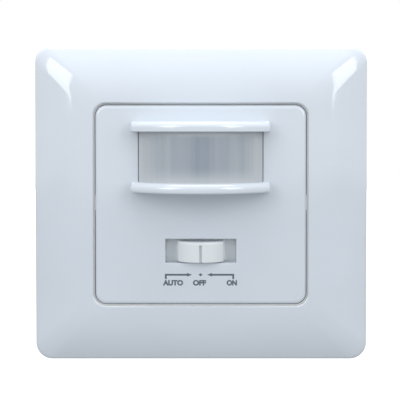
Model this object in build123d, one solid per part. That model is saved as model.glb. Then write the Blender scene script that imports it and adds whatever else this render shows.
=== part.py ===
from build123d import *
import os
from math import sqrt

# Motion sensor light switch for one wall box: a snap-on frame, a front panel with a hooded
# lens and a three-way slide knob, and a housing inside the wall that holds two boards.
# Millimetres. X is to the right, Z is up and the front faces -Y. The wall plane is y = 0,
# and the origin is midway between the two box screws. A rise is a distance out from the
# wall plane towards the room, and a negative rise lies inside the wall box.

# Shared fits
cut_overrun = 1.0
turning_gap = 0.06
sliding_gap = 0.25
snap_gap = 0.2
drop_in_gap = 0.15
lead_gap = 0.12
edge_slack = 0.01

# Front panel
panel_width = 56.2
panel_height = 53.1
panel_corner = 3.0
panel_edge = 1.0
panel_rise = 9.0
panel_thickness = 2.0
panel_wall = 1.6
skirt_gap = 0.2

# Outer frame, an arc in section that runs down from the panel to the rim
plate_width = 90.0
plate_height = 85.0
plate_corner = 4.5
plate_wall = 2.0
panel_gap = 0.5
rim_rise = 4.04
crown_shares = (0, 0.35, 0.7, 1)
rim_rounding = 1.8
collar_wall = 1.5
collar_rise = 5.5
seam_ledge_gap = 0.12
seam_ledge_drop = 0.9
seam_ledge_thickness = 0.8

# Mounting yoke, a steel strap with two slots for the box screws and four turned-up tabs
yoke_side_gap = 5.0
yoke_end_gap = 3.5
yoke_corner = 5.0
yoke_thickness = 1.2
box_screw_spacing = 60.3
box_slot_length = 7.0
box_slot_width = 4.2
tab_width = 10.0
tab_rise = 4.4
tab_place = 20.0
tab_window_width = 6.0
tab_window_height = 1.6

# Frame clips, one behind each yoke tab
clip_thickness = 1.4
clip_foot_rise = 1.8
clip_nub_reach = 0.8

# Hood lips and lens window of the panel
window_drop = 13.75
window_height = 13.2
window_gap = 0.15
hood_margin = 1.8
hood_end_reach = 3.5
hood_bulge = 7.8
upper_lip = 2.7
lower_lip = 2.7
lip_rounding = 1.1
lip_edge_rounding = 0.5
lip_corner_gap = 0.05

# Lens sheet, bowed forward, with a foot along each side behind the panel
lens_width = 32.9
lens_bulge = 9.8
lens_sheet = 0.7
lens_rebate = 0.9
lens_foot_reach = 1.5
lens_foot_thickness = 0.8

# Ring behind the lens, staked to the panel
holder_thickness = 1.6
holder_side = 2.6
holder_bar = 2.0
stake_radius = 0.7
stake_head_radius = 1.1
stake_head_height = 0.5

# Slot, slide knob and its shutter
slot_width = 18.85
slot_height = 6.35
slot_drop = 12.31
slot_pad = 1.0
slot_pad_margin = 3.0
knob_travel = 2.0
knob_width = 12.2
knob_height = 5.5
knob_bulge = 2.8
knob_end_reach = 0.5
knob_sag = 0.2
knob_edge = 0.35
knob_groove_width = 0.65
knob_groove_depth = 0.8
knob_groove_margin = 0.9
knob_step_width = 13.3
knob_step_height = 6.0
knob_step_drop = 2.6
shutter_thickness = 1.0
shutter_gap = 0.3
shutter_lap = 0.6
guide_rib = 1.0
guide_rib_depth = 1.8
fork_prong = 1.2
fork_width = 2.6

# Slide switch on the sensor board
switch_width = 14.0
switch_height = 6.5
switch_depth = 5.5
switch_skin = 0.4
switch_base_depth = 1.8
switch_pad = 0.2
switch_pin_size = 0.6
switch_pin_spacing = 3.0
switch_pin_count = 4
switch_pin_length = 3.2
lever_width = 2.0
lever_height = 1.8
lever_reach = 3.0
slider_width = 6.0
bridge_thickness = 0.4
bridge_width = 4.4
bridge_height = 1.6

# Boards
board_gap = 0.4
board_thickness = 1.6
board_column_gap = 0.4
sensor_board_rise = -4.4
power_board_rise = -21.0
board_post_radius = 2.4
sensor_post_inset = 4.0
sensor_post_gap = 0.55
power_post_inset = 3.5
power_post_z = -3.0
power_rest_z = 9.0

# Infrared detector, light sensor and control chip
can_radius = 4.05
can_height = 4.2
can_skin = 0.3
can_flange_radius = 4.6
can_flange_thickness = 0.4
can_window_width = 4.0
can_window_height = 3.0
filter_thickness = 0.5
filter_lap = 0.4
header_thickness = 0.8
lead_radius = 0.23
lead_circle = 2.54
lead_length = 3.2
photocell_radius = 2.5
photocell_thickness = 2.0
photocell_x = 9.4
photocell_groove = 0.3
photocell_groove_spacing = 0.9
chip_length = 8.7
chip_width = 3.9
chip_depth = 1.5
chip_stand_off = 0.15
chip_lead_count = 7
chip_lead_spacing = 1.27
chip_lead_width = 0.42
chip_lead_reach = 1.05
chip_lead_thickness = 0.2
chip_drop = 8.9

# Plug-in link between the boards
link_count = 5
link_spacing = 2.54
link_pin_size = 0.64
link_body_width = 2.5
link_body_depth = 2.5
link_socket_depth = 8.5
link_inset = 3.0
link_pin_tail = 1.4
link_pin_entry = 6.0

# Relay on the power board
relay_x = -9.0
relay_z = 8.3
relay_width = 19.0
relay_height = 15.0
relay_depth = 12.6
relay_wall = 0.7
relay_base_depth = 1.5
relay_skirt = 0.6
iron_thickness = 1.1
iron_height = 8.0
core_x = -2.4
core_radius = 1.8
core_tip = 7.7
pole_gap = 0.6
knife_gap = 0.15
bobbin_flange = 0.8
bobbin_width = 8.2
bobbin_height = 10.6
winding_radius = 4.0
armature_width = 10.4
armature_thickness = 1.0
leaf_thickness = 0.3
leaf_length = 4.2
leaf_gap = 0.2
leaf_room = 0.4
arm_height = 3.0
arm_end_x = 7.6
contact_x = 6.4
contact_radius = 1.2
contact_depth = 0.35
contact_gap = 1.0
blade_thickness = 0.5
blade_width = 3.4
relay_pin_length = 3.0

# Power supply pieces on the power board
film_x = 10.0
film_z = 13.4
film_width = 13.0
film_height = 6.0
film_depth = 11.0
film_edge = 0.6
electrolytic_left = -6.5
electrolytic_right = 3.0
electrolytic_z = -9.5
electrolytic_radius = 4.0
electrolytic_depth = 11.5
electrolytic_groove = 0.35
electrolytic_groove_rise = 1.6
electrolytic_edge = 0.4
diode_x = 5.0
diode_upper_z = -1.1
diode_lower_z = -4.0
diode_radius = 1.3
diode_length = 5.0
diode_lead_radius = 0.35
diode_lead_reach = 1.6
varistor_x = 8.0
varistor_z = 2.1
varistor_radius = 4.0
varistor_thickness = 3.2
varistor_stand_off = 1.0
varistor_edge = 0.9
fuse_x = 16.4
fuse_z = 4.6
fuse_radius = 3.0
fuse_depth = 7.0
fuse_edge = 0.5
supply_lead_radius = 0.35
supply_lead_length = 3.0
supply_lead_share = 0.6

# Terminal block on the back of the power board
terminal_count = 3
terminal_spacing = 8.5
terminal_end_wall = 1.0
terminal_depth = 9.6
terminal_height = 11.0
terminal_entry = 5.0
terminal_entry_rise = -26.5
terminal_lip = 2.6
cage_width = 6.2
cage_height = 6.4
cage_inner = 4.7
cage_thread_wall = 1.2
cage_front_wall = 0.8
clamp_screw_radius = 1.6
clamp_head_radius = 2.4
clamp_head_height = 1.6

# Time and light controls on the back of the power board
trimmer_post_reach = 9.0
trimmer_z = 8.0
trimmer_size = 9.0
trimmer_depth = 6.0
adjuster_radius = 3.0
adjuster_length = 4.4
adjuster_stem_radius = 1.5
adjuster_stem_length = 4.0
adjuster_slot = 0.8
adjuster_slot_depth = 1.0
adjuster_hole_gap = 0.4

# Rear housing
housing_side_reach = 3.4
housing_height = 50.0
housing_corner = 2.5
housing_wall = 1.6
housing_depth = 34.0
yoke_window_gap = 0.4
flange_side = 1.6
flange_end = 3.1
flange_corner = 3.0
flange_thickness = 1.5
column_ring_gap = 0.1
column_inset = 5.5
column_radius = 3.2
column_rise = 1.0
column_head_bore = 2.5
column_ledge_rise = -5.0
boss_radius = 2.4
power_post_radius = 2.5
vent_count = 5
vent_width = 1.4
vent_spacing = 3.6
vent_length = 9.0
vent_rise = -14.0

# Screws
panel_screw_radius = 1.3
panel_screw_length = 10.0
panel_screw_head_radius = 2.3
panel_screw_head_height = 2.0
board_screw_radius = 1.0
board_screw_length = 5.5
board_screw_head_radius = 2.0
board_screw_head_height = 1.4
yoke_screw_radius = 1.5
yoke_screw_length = 3.5
yoke_screw_head_radius = 2.4
yoke_screw_head_height = 1.7
yoke_screw_inset = 7.6
yoke_screw_reach = 4.4
drive_width_share = 0.22
drive_length_share = 1.1
drive_depth_share = 0.55

# Places that follow from the sizes above
window_centre = panel_height / 2 - window_drop
slot_centre = -slot_drop
crown_drop = panel_rise - rim_rise
crown_margin = (plate_width - panel_width) / 2 - panel_gap
crown_radius = (crown_margin**2 + crown_drop**2) / (2 * crown_drop)
yoke_width = plate_width - 2 * (plate_wall + yoke_side_gap)
yoke_height = plate_height - 2 * (plate_wall + yoke_end_gap)
opening_width = panel_width + 2 * panel_gap
opening_height = panel_height + 2 * panel_gap
opening_corner = panel_corner + panel_gap
panel_back = panel_rise - panel_thickness
window_bottom = window_centre - window_height / 2
window_top = window_centre + window_height / 2
lens_half = lens_width / 2
window_half = lens_half + window_gap
hood_half = window_half + hood_margin
hood_radius = (hood_half**2 + hood_bulge**2) / (2 * hood_bulge)
hood_tip = panel_rise + hood_end_reach + hood_bulge
lens_radius = (lens_half**2 + lens_bulge**2) / (2 * lens_bulge)
lens_centre = panel_rise + lens_bulge - lens_radius
lens_foot_rise = panel_back - lens_foot_thickness
lens_ring_half = window_half + lens_foot_reach
lens_ring_height = window_height + 2 * (lens_rebate + drop_in_gap + 2 * stake_head_radius)
slot_pad_back = panel_back - slot_pad
shutter_front = slot_pad_back - shutter_gap
shutter_back = shutter_front - shutter_thickness
shutter_width = slot_width + 2 * (knob_travel + shutter_lap)
shutter_height = slot_height + 2 * shutter_lap
knob_end_rise = panel_rise - knob_end_reach
knob_radius = ((knob_width / 2) ** 2 + knob_bulge**2) / (2 * knob_bulge)
switch_front = sensor_board_rise + switch_depth
switch_floor = sensor_board_rise + switch_base_depth
bridge_rise = switch_floor + switch_pad + lead_gap
slider_back = bridge_rise + bridge_thickness
slider_front = switch_front - switch_skin - lead_gap
lever_tip = switch_front + lever_reach
power_board_back = power_board_rise - board_thickness
sensor_board_back = sensor_board_rise - board_thickness
column_x = lens_ring_half + column_ring_gap + boss_radius
column_z = housing_height / 2 - column_inset
housing_width = 2 * (column_x + housing_side_reach)
housing_floor = housing_wall - housing_depth
board_width = housing_width - 2 * (housing_wall + board_gap)
board_height = housing_height - 2 * (housing_wall + board_gap)
sensor_post_x = board_width / 2 - sensor_post_inset
lens_ring_bottom = window_centre - lens_ring_height / 2
sensor_post_z = lens_ring_bottom - sensor_post_gap - board_post_radius
power_post_x = board_width / 2 - power_post_inset
trimmer_x = power_post_x - trimmer_post_reach
chip_z = window_centre - chip_drop
link_place = link_inset - board_height / 2
flange_width = housing_width + 2 * flange_side
yoke_screw_x = flange_width / 2 - yoke_screw_inset
yoke_screw_z = housing_height / 2 + yoke_screw_reach
flange_height = 2 * (yoke_screw_z + flange_end)
flange_rise = yoke_thickness + flange_thickness
panel_skirt_rise = flange_rise + yoke_screw_head_height + skirt_gap
electrolytic_places = (electrolytic_left, electrolytic_right)
terminal_low = housing_wall - housing_height / 2 + snap_gap
terminal_centre = terminal_low + terminal_lip + cage_height / 2
terminal_back = power_board_back - terminal_depth
cage_back = terminal_entry_rise - cage_inner / 2 - cage_thread_wall
cage_front = terminal_entry_rise + cage_inner / 2 + cage_front_wall
signs = (-1, 1)
corners = [(x, z) for x in signs for z in signs]


def plate(outline, low, high):
    """A solid between two rises, from an outline drawn in x and z."""
    return extrude(Plane.XZ.offset(low) * outline, amount=high - low)


def standing(outline, bottom, top):
    """A solid between two heights, from an outline drawn in x and rise."""
    ceiling = Plane(origin=(0, 0, top), x_dir=(1, 0, 0), z_dir=(0, 0, -1))
    return extrude(ceiling * outline, amount=top - bottom)


def disc(x, z, radius, low, high):
    """A round bar square to the wall, between two rises."""
    return plate(Pos(x, z) * Circle(radius), low, high)


def block(x, z, width, height, low, high):
    """A square-cornered block centred on x and z, between two rises."""
    return plate(Pos(x, z) * Rectangle(width, height), low, high)


def span(low_x, high_x, low_rise, high_rise):
    """A rectangle drawn in x and rise, given by its sides."""
    middle = Pos((low_x + high_x) / 2, (low_rise + high_rise) / 2)
    return middle * Rectangle(high_x - low_x, high_rise - low_rise)


def bow(radius, centre, half, low):
    """An outline in x and rise with straight sides and a bowed front."""
    return (Pos(0, centre) * Circle(radius)) & span(-half, half, low, centre + radius)


def edges_at_rise(solid, rise):
    """The edges that lie wholly at one rise."""
    return solid.edges().filter_by_position(Axis.Y, -rise - edge_slack, -rise + edge_slack)


def apart(pieces):
    """Several solids that stay separate in one node."""
    return Compound([solid for piece in pieces for solid in piece.solids()])


def screw(x, z, seat, way, radius, length, head_radius, head_height):
    """A cross-recessed screw whose head rests on the seat's rise and whose shank runs the given way."""
    head_end = seat - way * head_height
    shank_end = seat + way * length
    body = disc(x, z, head_radius, min(seat, head_end), max(seat, head_end))
    body += disc(x, z, radius, min(seat, shank_end), max(seat, shank_end))
    bottom = head_end + way * head_height * drive_depth_share
    mouth = head_end - way * cut_overrun
    long, narrow = head_radius * drive_length_share, head_radius * drive_width_share
    for width, height in ((long, narrow), (narrow, long)):
        body -= block(x, z, width, height, min(bottom, mouth), max(bottom, mouth))
    return body


def crown_fall(distance):
    """How far the frame's front has fallen at a distance from its opening."""
    return crown_radius - sqrt(crown_radius**2 - distance**2)


def frame_form(inset):
    """The frame's outer form, smooth through rounded rectangles, drawn in and lowered by an inset."""
    sections = []
    for share in crown_shares:
        width = opening_width + share * (plate_width - opening_width) - 2 * inset
        height = opening_height + share * (plate_height - opening_height) - 2 * inset
        corner = opening_corner + share * (plate_corner - opening_corner) - inset
        rise = panel_rise - crown_fall(share * crown_margin) - inset
        sections.append(Plane.XZ.offset(rise) * RectangleRounded(width, height, corner))
    outline = RectangleRounded(plate_width - 2 * inset, plate_height - 2 * inset, plate_corner - inset)
    return loft(sections), outline, rim_rise - inset


def outer_frame():
    """Snap-on surround: a convex shell, a collar with a ledge that closes the seam, and clips."""
    crown, outline, rim = frame_form(0)
    shell = crown + plate(outline, 0, rim)
    shell = fillet(edges_at_rise(shell, rim), rim_rounding)
    hollow, inner_outline, inner_rim = frame_form(plate_wall)
    shell -= hollow + plate(inner_outline, -cut_overrun, inner_rim)
    collar_width = opening_width + 2 * collar_wall
    collar_height = opening_height + 2 * collar_wall
    collar_outline = RectangleRounded(collar_width, collar_height, opening_corner + collar_wall)
    shell += plate(collar_outline, collar_rise, panel_rise - plate_wall / 2)
    opening = RectangleRounded(opening_width, opening_height, opening_corner)
    shell -= plate(opening, -cut_overrun, panel_rise + cut_overrun)
    seam_width = panel_width + 2 * seam_ledge_gap
    seam_height = panel_height + 2 * seam_ledge_gap
    seam = RectangleRounded(seam_width, seam_height, panel_corner + seam_ledge_gap)
    ledge_high = panel_rise - seam_ledge_drop
    ledge_low = ledge_high - seam_ledge_thickness
    shell += plate(opening, ledge_low, ledge_high) - plate(seam, ledge_low, ledge_high)
    clip_inner = yoke_width / 2 + snap_gap
    clip_outer = clip_inner + clip_thickness
    clip_root = panel_rise - crown_fall(clip_outer - opening_width / 2) - plate_wall / 2
    window_middle = (yoke_thickness + tab_rise) / 2
    nub_half = tab_window_height / 2 - snap_gap
    for side, level in corners:
        arm_x = side * (clip_inner + clip_thickness / 2)
        arm_z = level * tab_place
        shell += block(arm_x, arm_z, clip_thickness, tab_width, clip_foot_rise, clip_root)
        nub_width = clip_nub_reach + clip_thickness
        nub_x = side * (clip_outer - nub_width / 2)
        nub_height = tab_window_width - 2 * snap_gap
        low, high = window_middle - nub_half, window_middle + nub_half
        shell += block(nub_x, arm_z, nub_width, nub_height, low, high)
    return shell


def hood_lip(bottom, top):
    """One bowed lip of the hood, rounded more along its upper front edge than along its lower one."""
    lip = standing(bow(hood_radius, hood_tip - hood_radius, hood_half, panel_back), bottom, top)
    ends = lip.edges().filter_by(Axis.Z).filter_by_position(Axis.Y, -hood_tip, -panel_rise)
    lip = fillet(ends, lip_rounding)
    upper = lip.edges().filter_by(GeomType.CIRCLE).filter_by_position(Axis.Z, top, top)
    lip = fillet(upper, lip_rounding - lip_corner_gap)
    lower = lip.edges().filter_by(GeomType.CIRCLE).filter_by_position(Axis.Z, bottom, bottom)
    return fillet(lower, lip_edge_rounding)


def stake_places():
    """Where the lens ring is staked: beside the lens feet, two on each side."""
    reach = lens_ring_half - stake_head_radius
    below = window_bottom - lens_rebate - drop_in_gap - stake_head_radius
    above = window_top + lens_rebate + drop_in_gap + stake_head_radius
    return [(side * reach, z) for side in signs for z in (below, above)]


def front_panel():
    """Moulded panel: face, skirt, hood lips, lens pocket, slot, guide ribs, bosses and posts."""
    outline = RectangleRounded(panel_width, panel_height, panel_corner)
    panel = plate(outline, panel_skirt_rise, panel_rise)
    panel = fillet(edges_at_rise(panel, panel_rise), panel_edge)
    inner_width = panel_width - 2 * panel_wall
    inner_height = panel_height - 2 * panel_wall
    inner = RectangleRounded(inner_width, inner_height, panel_corner - panel_wall)
    panel -= plate(inner, panel_skirt_rise - cut_overrun, panel_back)
    panel += hood_lip(window_top, window_top + upper_lip)
    panel += hood_lip(window_bottom - lower_lip, window_bottom)
    window_top_cut = hood_tip + cut_overrun
    window = span(-window_half, window_half, panel_back - cut_overrun, window_top_cut)
    panel -= standing(window, window_bottom, window_top)
    pocket_half = lens_half + drop_in_gap
    pocket = bow(lens_radius + drop_in_gap, lens_centre, pocket_half, panel_back - cut_overrun)
    panel -= standing(pocket, window_bottom - lens_rebate, window_top + lens_rebate)
    pad_width = slot_width + 2 * slot_pad_margin
    pad_height = shutter_height + 2 * (sliding_gap + guide_rib)
    panel += block(0, slot_centre, pad_width, pad_height, slot_pad_back, panel_back)
    rib_offset = shutter_height / 2 + sliding_gap + guide_rib / 2
    rib_low = slot_pad_back - guide_rib_depth
    for side in signs:
        rib_z = slot_centre + side * rib_offset
        panel += block(0, rib_z, pad_width, guide_rib, rib_low, slot_pad_back)
    low, high = slot_pad_back - cut_overrun, panel_rise + cut_overrun
    panel -= block(0, slot_centre, slot_width, slot_height, low, high)
    for side, level in corners:
        x, z = side * column_x, level * column_z
        panel += disc(x, z, boss_radius, column_rise, panel_back)
        pilot_end = column_ledge_rise + panel_screw_length + lead_gap
        panel -= disc(x, z, panel_screw_radius + lead_gap, column_rise - cut_overrun, pilot_end)
    for side in signs:
        x = side * sensor_post_x
        panel += disc(x, sensor_post_z, board_post_radius, sensor_board_rise, panel_back)
        pilot_end = sensor_board_back + board_screw_length + lead_gap
        pilot = board_screw_radius + lead_gap
        panel -= disc(x, sensor_post_z, pilot, sensor_board_rise - cut_overrun, pilot_end)
    stake_end = lens_foot_rise - holder_thickness - stake_head_height
    for x, z in stake_places():
        panel += disc(x, z, stake_radius, stake_end, panel_back)
        head_high = lens_foot_rise - holder_thickness
        panel += disc(x, z, stake_head_radius, stake_end, head_high)
    return panel


def pir_lens():
    """Moulded sheet, bowed forward, straight at its sides, with a foot along each side."""
    height = window_height + 2 * (lens_rebate - drop_in_gap)
    bottom, top = window_centre - height / 2, window_centre + height / 2
    sheet = bow(lens_radius, lens_centre, lens_half, lens_foot_rise)
    inner_half = lens_half - lens_sheet
    sheet -= bow(lens_radius - lens_sheet, lens_centre, inner_half, lens_foot_rise - cut_overrun)
    for side in signs:
        near, far = sorted((side * inner_half, side * lens_ring_half))
        sheet += span(near, far, lens_foot_rise, panel_back)
    return standing(sheet, bottom, top)


def lens_holder():
    """Ring that presses the lens feet against the back of the panel."""
    opening = 2 * (lens_ring_half - holder_side)
    inner_height = lens_ring_height - 2 * holder_bar
    low, high = lens_foot_rise - holder_thickness, lens_foot_rise
    ring = block(0, window_centre, 2 * lens_ring_half, lens_ring_height, low, high)
    ring -= block(0, window_centre, opening, inner_height, low - cut_overrun, high + cut_overrun)
    for x, z in stake_places():
        ring -= disc(x, z, stake_radius + lead_gap, low - cut_overrun, high + cut_overrun)
    return ring


def slide_knob():
    """Knob cap, its lower step, the shutter that closes the slot and the fork for the lever."""
    cap_centre = knob_end_rise + knob_bulge - knob_radius
    cap_middle = slot_centre - knob_sag
    bottom, top = cap_middle - knob_height / 2, cap_middle + knob_height / 2
    cap = standing(bow(knob_radius, cap_centre, knob_width / 2, shutter_front), bottom, top)
    cap = fillet(cap.edges().filter_by(GeomType.CIRCLE), knob_edge)
    groove_top = top - knob_groove_margin
    groove_floor = knob_end_rise + knob_bulge - knob_groove_depth
    groove_mouth = knob_end_rise + knob_bulge + cut_overrun
    groove_half = knob_groove_width / 2
    groove = span(-groove_half, groove_half, groove_floor, groove_mouth)
    cap -= standing(groove, bottom - cut_overrun, groove_top)
    step_rise = panel_rise - knob_step_drop
    cap += block(0, slot_centre, knob_step_width, knob_step_height, shutter_front, step_rise)
    cap += block(0, slot_centre, shutter_width, shutter_height, shutter_back, shutter_front)
    prong_low = switch_front + sliding_gap
    prong_x = lever_width / 2 + lead_gap + fork_prong / 2
    for side in signs:
        cap += block(side * prong_x, slot_centre, fork_prong, fork_width, prong_low, shutter_back)
    return cap


def switch_shell():
    """Folded metal cover of the slide switch, open towards the board."""
    shell = block(0, slot_centre, switch_width, switch_height, sensor_board_rise, switch_front)
    inner_width = switch_width - 2 * switch_skin
    inner_height = switch_height - 2 * switch_skin
    inner_high = switch_front - switch_skin
    low = sensor_board_rise - cut_overrun
    shell -= block(0, slot_centre, inner_width, inner_height, low, inner_high)
    slot_length = lever_width + 2 * (knob_travel + sliding_gap)
    slot_across = lever_height + 2 * sliding_gap
    high = switch_front + cut_overrun
    return shell - block(0, slot_centre, slot_length, slot_across, inner_high - cut_overrun, high)


def switch_pin_places():
    """The four contacts of the slide switch, in a row."""
    middle = (switch_pin_count - 1) / 2
    return [(count - middle) * switch_pin_spacing for count in range(switch_pin_count)]


def switch_base():
    """Moulded floor of the slide switch, pierced by its pins."""
    width = switch_width - 2 * (switch_skin + lead_gap)
    height = switch_height - 2 * (switch_skin + lead_gap)
    base = block(0, slot_centre, width, height, sensor_board_rise, switch_floor)
    hole = switch_pin_size + 2 * lead_gap
    low, high = sensor_board_rise - cut_overrun, switch_floor + cut_overrun
    for x in switch_pin_places():
        base -= block(x, slot_centre, hole, hole, low, high)
    return base


def switch_pins():
    """Fixed contacts: a pad on the floor and a pin down through the board."""
    pad_width = switch_pin_spacing - 4 * lead_gap - switch_pin_size
    pins = []
    for x in switch_pin_places():
        low = switch_floor - switch_base_depth - switch_pin_length
        pin = block(x, slot_centre, switch_pin_size, switch_pin_size, low, switch_floor)
        pad_high = switch_floor + switch_pad
        pins.append(pin + block(x, slot_centre, pad_width, bridge_height, switch_floor, pad_high))
    return apart(pins)


def switch_slider():
    """Sliding block of the switch with the lever that the knob's fork holds."""
    height = switch_height - 2 * (switch_skin + sliding_gap)
    slider = block(0, slot_centre, slider_width, height, slider_back, slider_front)
    return slider + block(0, slot_centre, lever_width, lever_height, slider_front, lever_tip)


def contact_bridge():
    """Spring contact under the slider, which joins two neighbouring pads."""
    bridge = block(0, slot_centre, bridge_width, bridge_height, bridge_rise, slider_back)
    return fillet(bridge.edges().filter_by(Axis.Z), bridge_thickness / 3)


def board(rise):
    """Circuit board with its corners cut out for the housing's columns."""
    low, high = rise - board_thickness, rise
    blank = block(0, 0, board_width, board_height, low, high)
    notch_x = board_width / 2 - (column_x - column_radius - board_column_gap)
    notch_z = board_height / 2 - (column_z - column_radius - board_column_gap)
    for side, level in corners:
        x, z = side * board_width / 2, level * board_height / 2
        blank -= block(x, z, 2 * notch_x, 2 * notch_z, low - cut_overrun, high + cut_overrun)
    return blank


def drill(blank, places, radius, rise):
    """Round holes through a board whose front lies at a rise."""
    for x, z in places:
        blank -= disc(x, z, radius, rise - board_thickness - cut_overrun, rise + cut_overrun)
    return blank


def can_lead_places():
    """The detector's three leads, on a circle under the can."""
    return [
        (-lead_circle / 2, window_centre),
        (lead_circle / 2, window_centre),
        (0, window_centre - lead_circle),
    ]


def photocell_lead_places():
    """The light sensor's two leads."""
    offset = photocell_radius * supply_lead_share
    return [(photocell_x, window_centre + side * offset) for side in signs]


def link_places():
    """The pins of the link between the boards, in a row."""
    middle = (link_count - 1) / 2
    return [((count - middle) * link_spacing, link_place) for count in range(link_count)]


def sensor_board():
    """Front board, held by two screws to the panel's posts."""
    blank = board(sensor_board_rise)
    screws = [(side * sensor_post_x, sensor_post_z) for side in signs]
    blank = drill(blank, screws, board_screw_radius + lead_gap, sensor_board_rise)
    leads = can_lead_places() + photocell_lead_places()
    blank = drill(blank, leads, lead_radius + lead_gap, sensor_board_rise)
    pins = [(x, slot_centre) for x in switch_pin_places()]
    blank = drill(blank, pins, switch_pin_size + lead_gap, sensor_board_rise)
    return drill(blank, link_places(), link_pin_size + lead_gap, sensor_board_rise)


def pir_sensor_can():
    """Detector can with its flange and the rectangular opening over the elements."""
    top = sensor_board_rise + can_height
    can = disc(0, window_centre, can_radius, sensor_board_rise, top)
    flange_top = sensor_board_rise + can_flange_thickness
    can += disc(0, window_centre, can_flange_radius, sensor_board_rise, flange_top)
    inner = can_radius - can_skin
    can -= disc(0, window_centre, inner, sensor_board_rise - cut_overrun, top - can_skin)
    low, high = top - can_skin - cut_overrun, top + cut_overrun
    return can - block(0, window_centre, can_window_width, can_window_height, low, high)


def pir_filter_window():
    """Dark filter plate inside the can's opening."""
    top = sensor_board_rise + can_height - can_skin
    width = can_window_width + 2 * filter_lap
    height = can_window_height + 2 * filter_lap
    return block(0, window_centre, width, height, top - filter_thickness, top)


def pir_base():
    """Header that closes the can, with its three leads."""
    radius = can_radius - can_skin - lead_gap
    top = sensor_board_rise + header_thickness
    base = disc(0, window_centre, radius, sensor_board_rise, top)
    for x, z in can_lead_places():
        base += disc(x, z, lead_radius, sensor_board_rise - lead_length, sensor_board_rise)
    return base


def light_sensor():
    """Light-dependent resistor: a disc with a shallow zigzag track and two leads."""
    top = sensor_board_rise + photocell_thickness
    cell = disc(photocell_x, window_centre, photocell_radius, sensor_board_rise, top)
    length = photocell_radius * supply_lead_share * 2
    for step in (*signs, 0):
        x = photocell_x + step * photocell_groove_spacing
        z = window_centre
        low = top - photocell_groove
        cell -= block(x, z, photocell_groove, length, low, top + cut_overrun)
    for x, z in photocell_lead_places():
        cell += disc(x, z, lead_radius, sensor_board_rise - lead_length, sensor_board_rise)
    return cell


def control_chip():
    """Flat chip on the back of the sensor board with a row of feet on each side."""
    seat = sensor_board_back
    low = seat - chip_stand_off - chip_depth
    chip = block(0, chip_z, chip_length, chip_width, low, seat - chip_stand_off)
    middle = (chip_lead_count - 1) / 2
    shoulder = seat - chip_stand_off - chip_depth / 2
    for count in range(chip_lead_count):
        x = (count - middle) * chip_lead_spacing
        for side in signs:
            z = chip_z + side * (chip_width + chip_lead_reach) / 2
            foot = seat - chip_lead_thickness
            chip += block(x, z, chip_lead_width, chip_lead_reach, foot, seat)
            chip += block(x, z, chip_lead_width, chip_lead_reach, shoulder, foot)
    return chip


def board_screws():
    """Two screws through the sensor board into the panel's posts."""
    return apart(
        screw(
            side * sensor_post_x, sensor_post_z, sensor_board_back, 1,
            board_screw_radius, board_screw_length, board_screw_head_radius, board_screw_head_height,
        )
        for side in signs
    )


def link_width():
    """Length of the link's plastic bodies."""
    return link_count * link_spacing


def link_header():
    """Plastic strip on the back of the sensor board that holds the link's pins."""
    low = sensor_board_back - link_body_depth
    strip = block(0, link_place, link_width(), link_body_width, low, sensor_board_back)
    hole = link_pin_size + 2 * lead_gap
    for x, z in link_places():
        strip -= block(x, z, hole, hole, low - cut_overrun, sensor_board_back + cut_overrun)
    return strip


def link_socket():
    """Plastic socket strip on the power board that the pins plug into."""
    top = power_board_rise + link_socket_depth
    strip = block(0, link_place, link_width(), link_body_width, power_board_rise, top)
    hole = link_pin_size + 2 * lead_gap
    for x, z in link_places():
        strip -= block(x, z, hole, hole, top - link_pin_entry - cut_overrun, top + cut_overrun)
    return strip


def link_pins():
    """Square pins from the sensor board into the socket."""
    low = power_board_rise + link_socket_depth - link_pin_entry
    high = sensor_board_rise + link_pin_tail
    return apart(block(x, z, link_pin_size, link_pin_size, low, high) for x, z in link_places())


def supply_leads(x, z, reach, along_x=True):
    """Two leads from a piece's seat down through the power board."""
    places = []
    for side in signs:
        place_x = x + side * reach if along_x else x
        place_z = z if along_x else z + side * reach
        places.append((place_x, place_z))
    return places


def film_leads():
    return supply_leads(film_x, film_z, film_width / 2 * supply_lead_share)


def varistor_leads():
    return supply_leads(varistor_x, varistor_z, varistor_radius * supply_lead_share)


def fuse_leads():
    return supply_leads(fuse_x, fuse_z, fuse_radius * supply_lead_share, False)


def electrolytic_leads():
    reach = electrolytic_radius / 2 * supply_lead_share
    return [lead for x in electrolytic_places for lead in supply_leads(x, electrolytic_z, reach)]


def diode_places():
    """The four diodes of the bridge, two by two."""
    return [(side * diode_x, z) for side in signs for z in (diode_upper_z, diode_lower_z)]


def diode_leads():
    reach = diode_length / 2 + diode_lead_reach
    return [lead for x, z in diode_places() for lead in supply_leads(x, z, reach)]


def with_leads(piece, places, top):
    """Adds leads that run from a rise down through the power board."""
    low = power_board_rise - supply_lead_length
    for x, z in places:
        piece += disc(x, z, supply_lead_radius, low, top)
    return piece


def film_capacitor():
    """Moulded box capacitor standing on the board."""
    top = power_board_rise + film_depth
    box = block(film_x, film_z, film_width, film_height, power_board_rise, top)
    box = fillet(edges_at_rise(box, top), film_edge)
    return with_leads(box, film_leads(), power_board_rise)


def storage_capacitors():
    """Two electrolytic cans with the rolled groove near their seat."""
    cans = []
    for x in electrolytic_places:
        top = power_board_rise + electrolytic_depth
        can = disc(x, electrolytic_z, electrolytic_radius, power_board_rise, top)
        can = fillet(edges_at_rise(can, top), electrolytic_edge)
        low = power_board_rise + electrolytic_groove_rise - electrolytic_groove
        high = power_board_rise + electrolytic_groove_rise + electrolytic_groove
        ring = disc(x, electrolytic_z, electrolytic_radius + cut_overrun, low, high)
        ring -= disc(x, electrolytic_z, electrolytic_radius - electrolytic_groove, low, high)
        reach = electrolytic_radius / 2 * supply_lead_share
        leads = supply_leads(x, electrolytic_z, reach)
        cans.append(with_leads(can - ring, leads, power_board_rise))
    return apart(cans)


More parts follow.
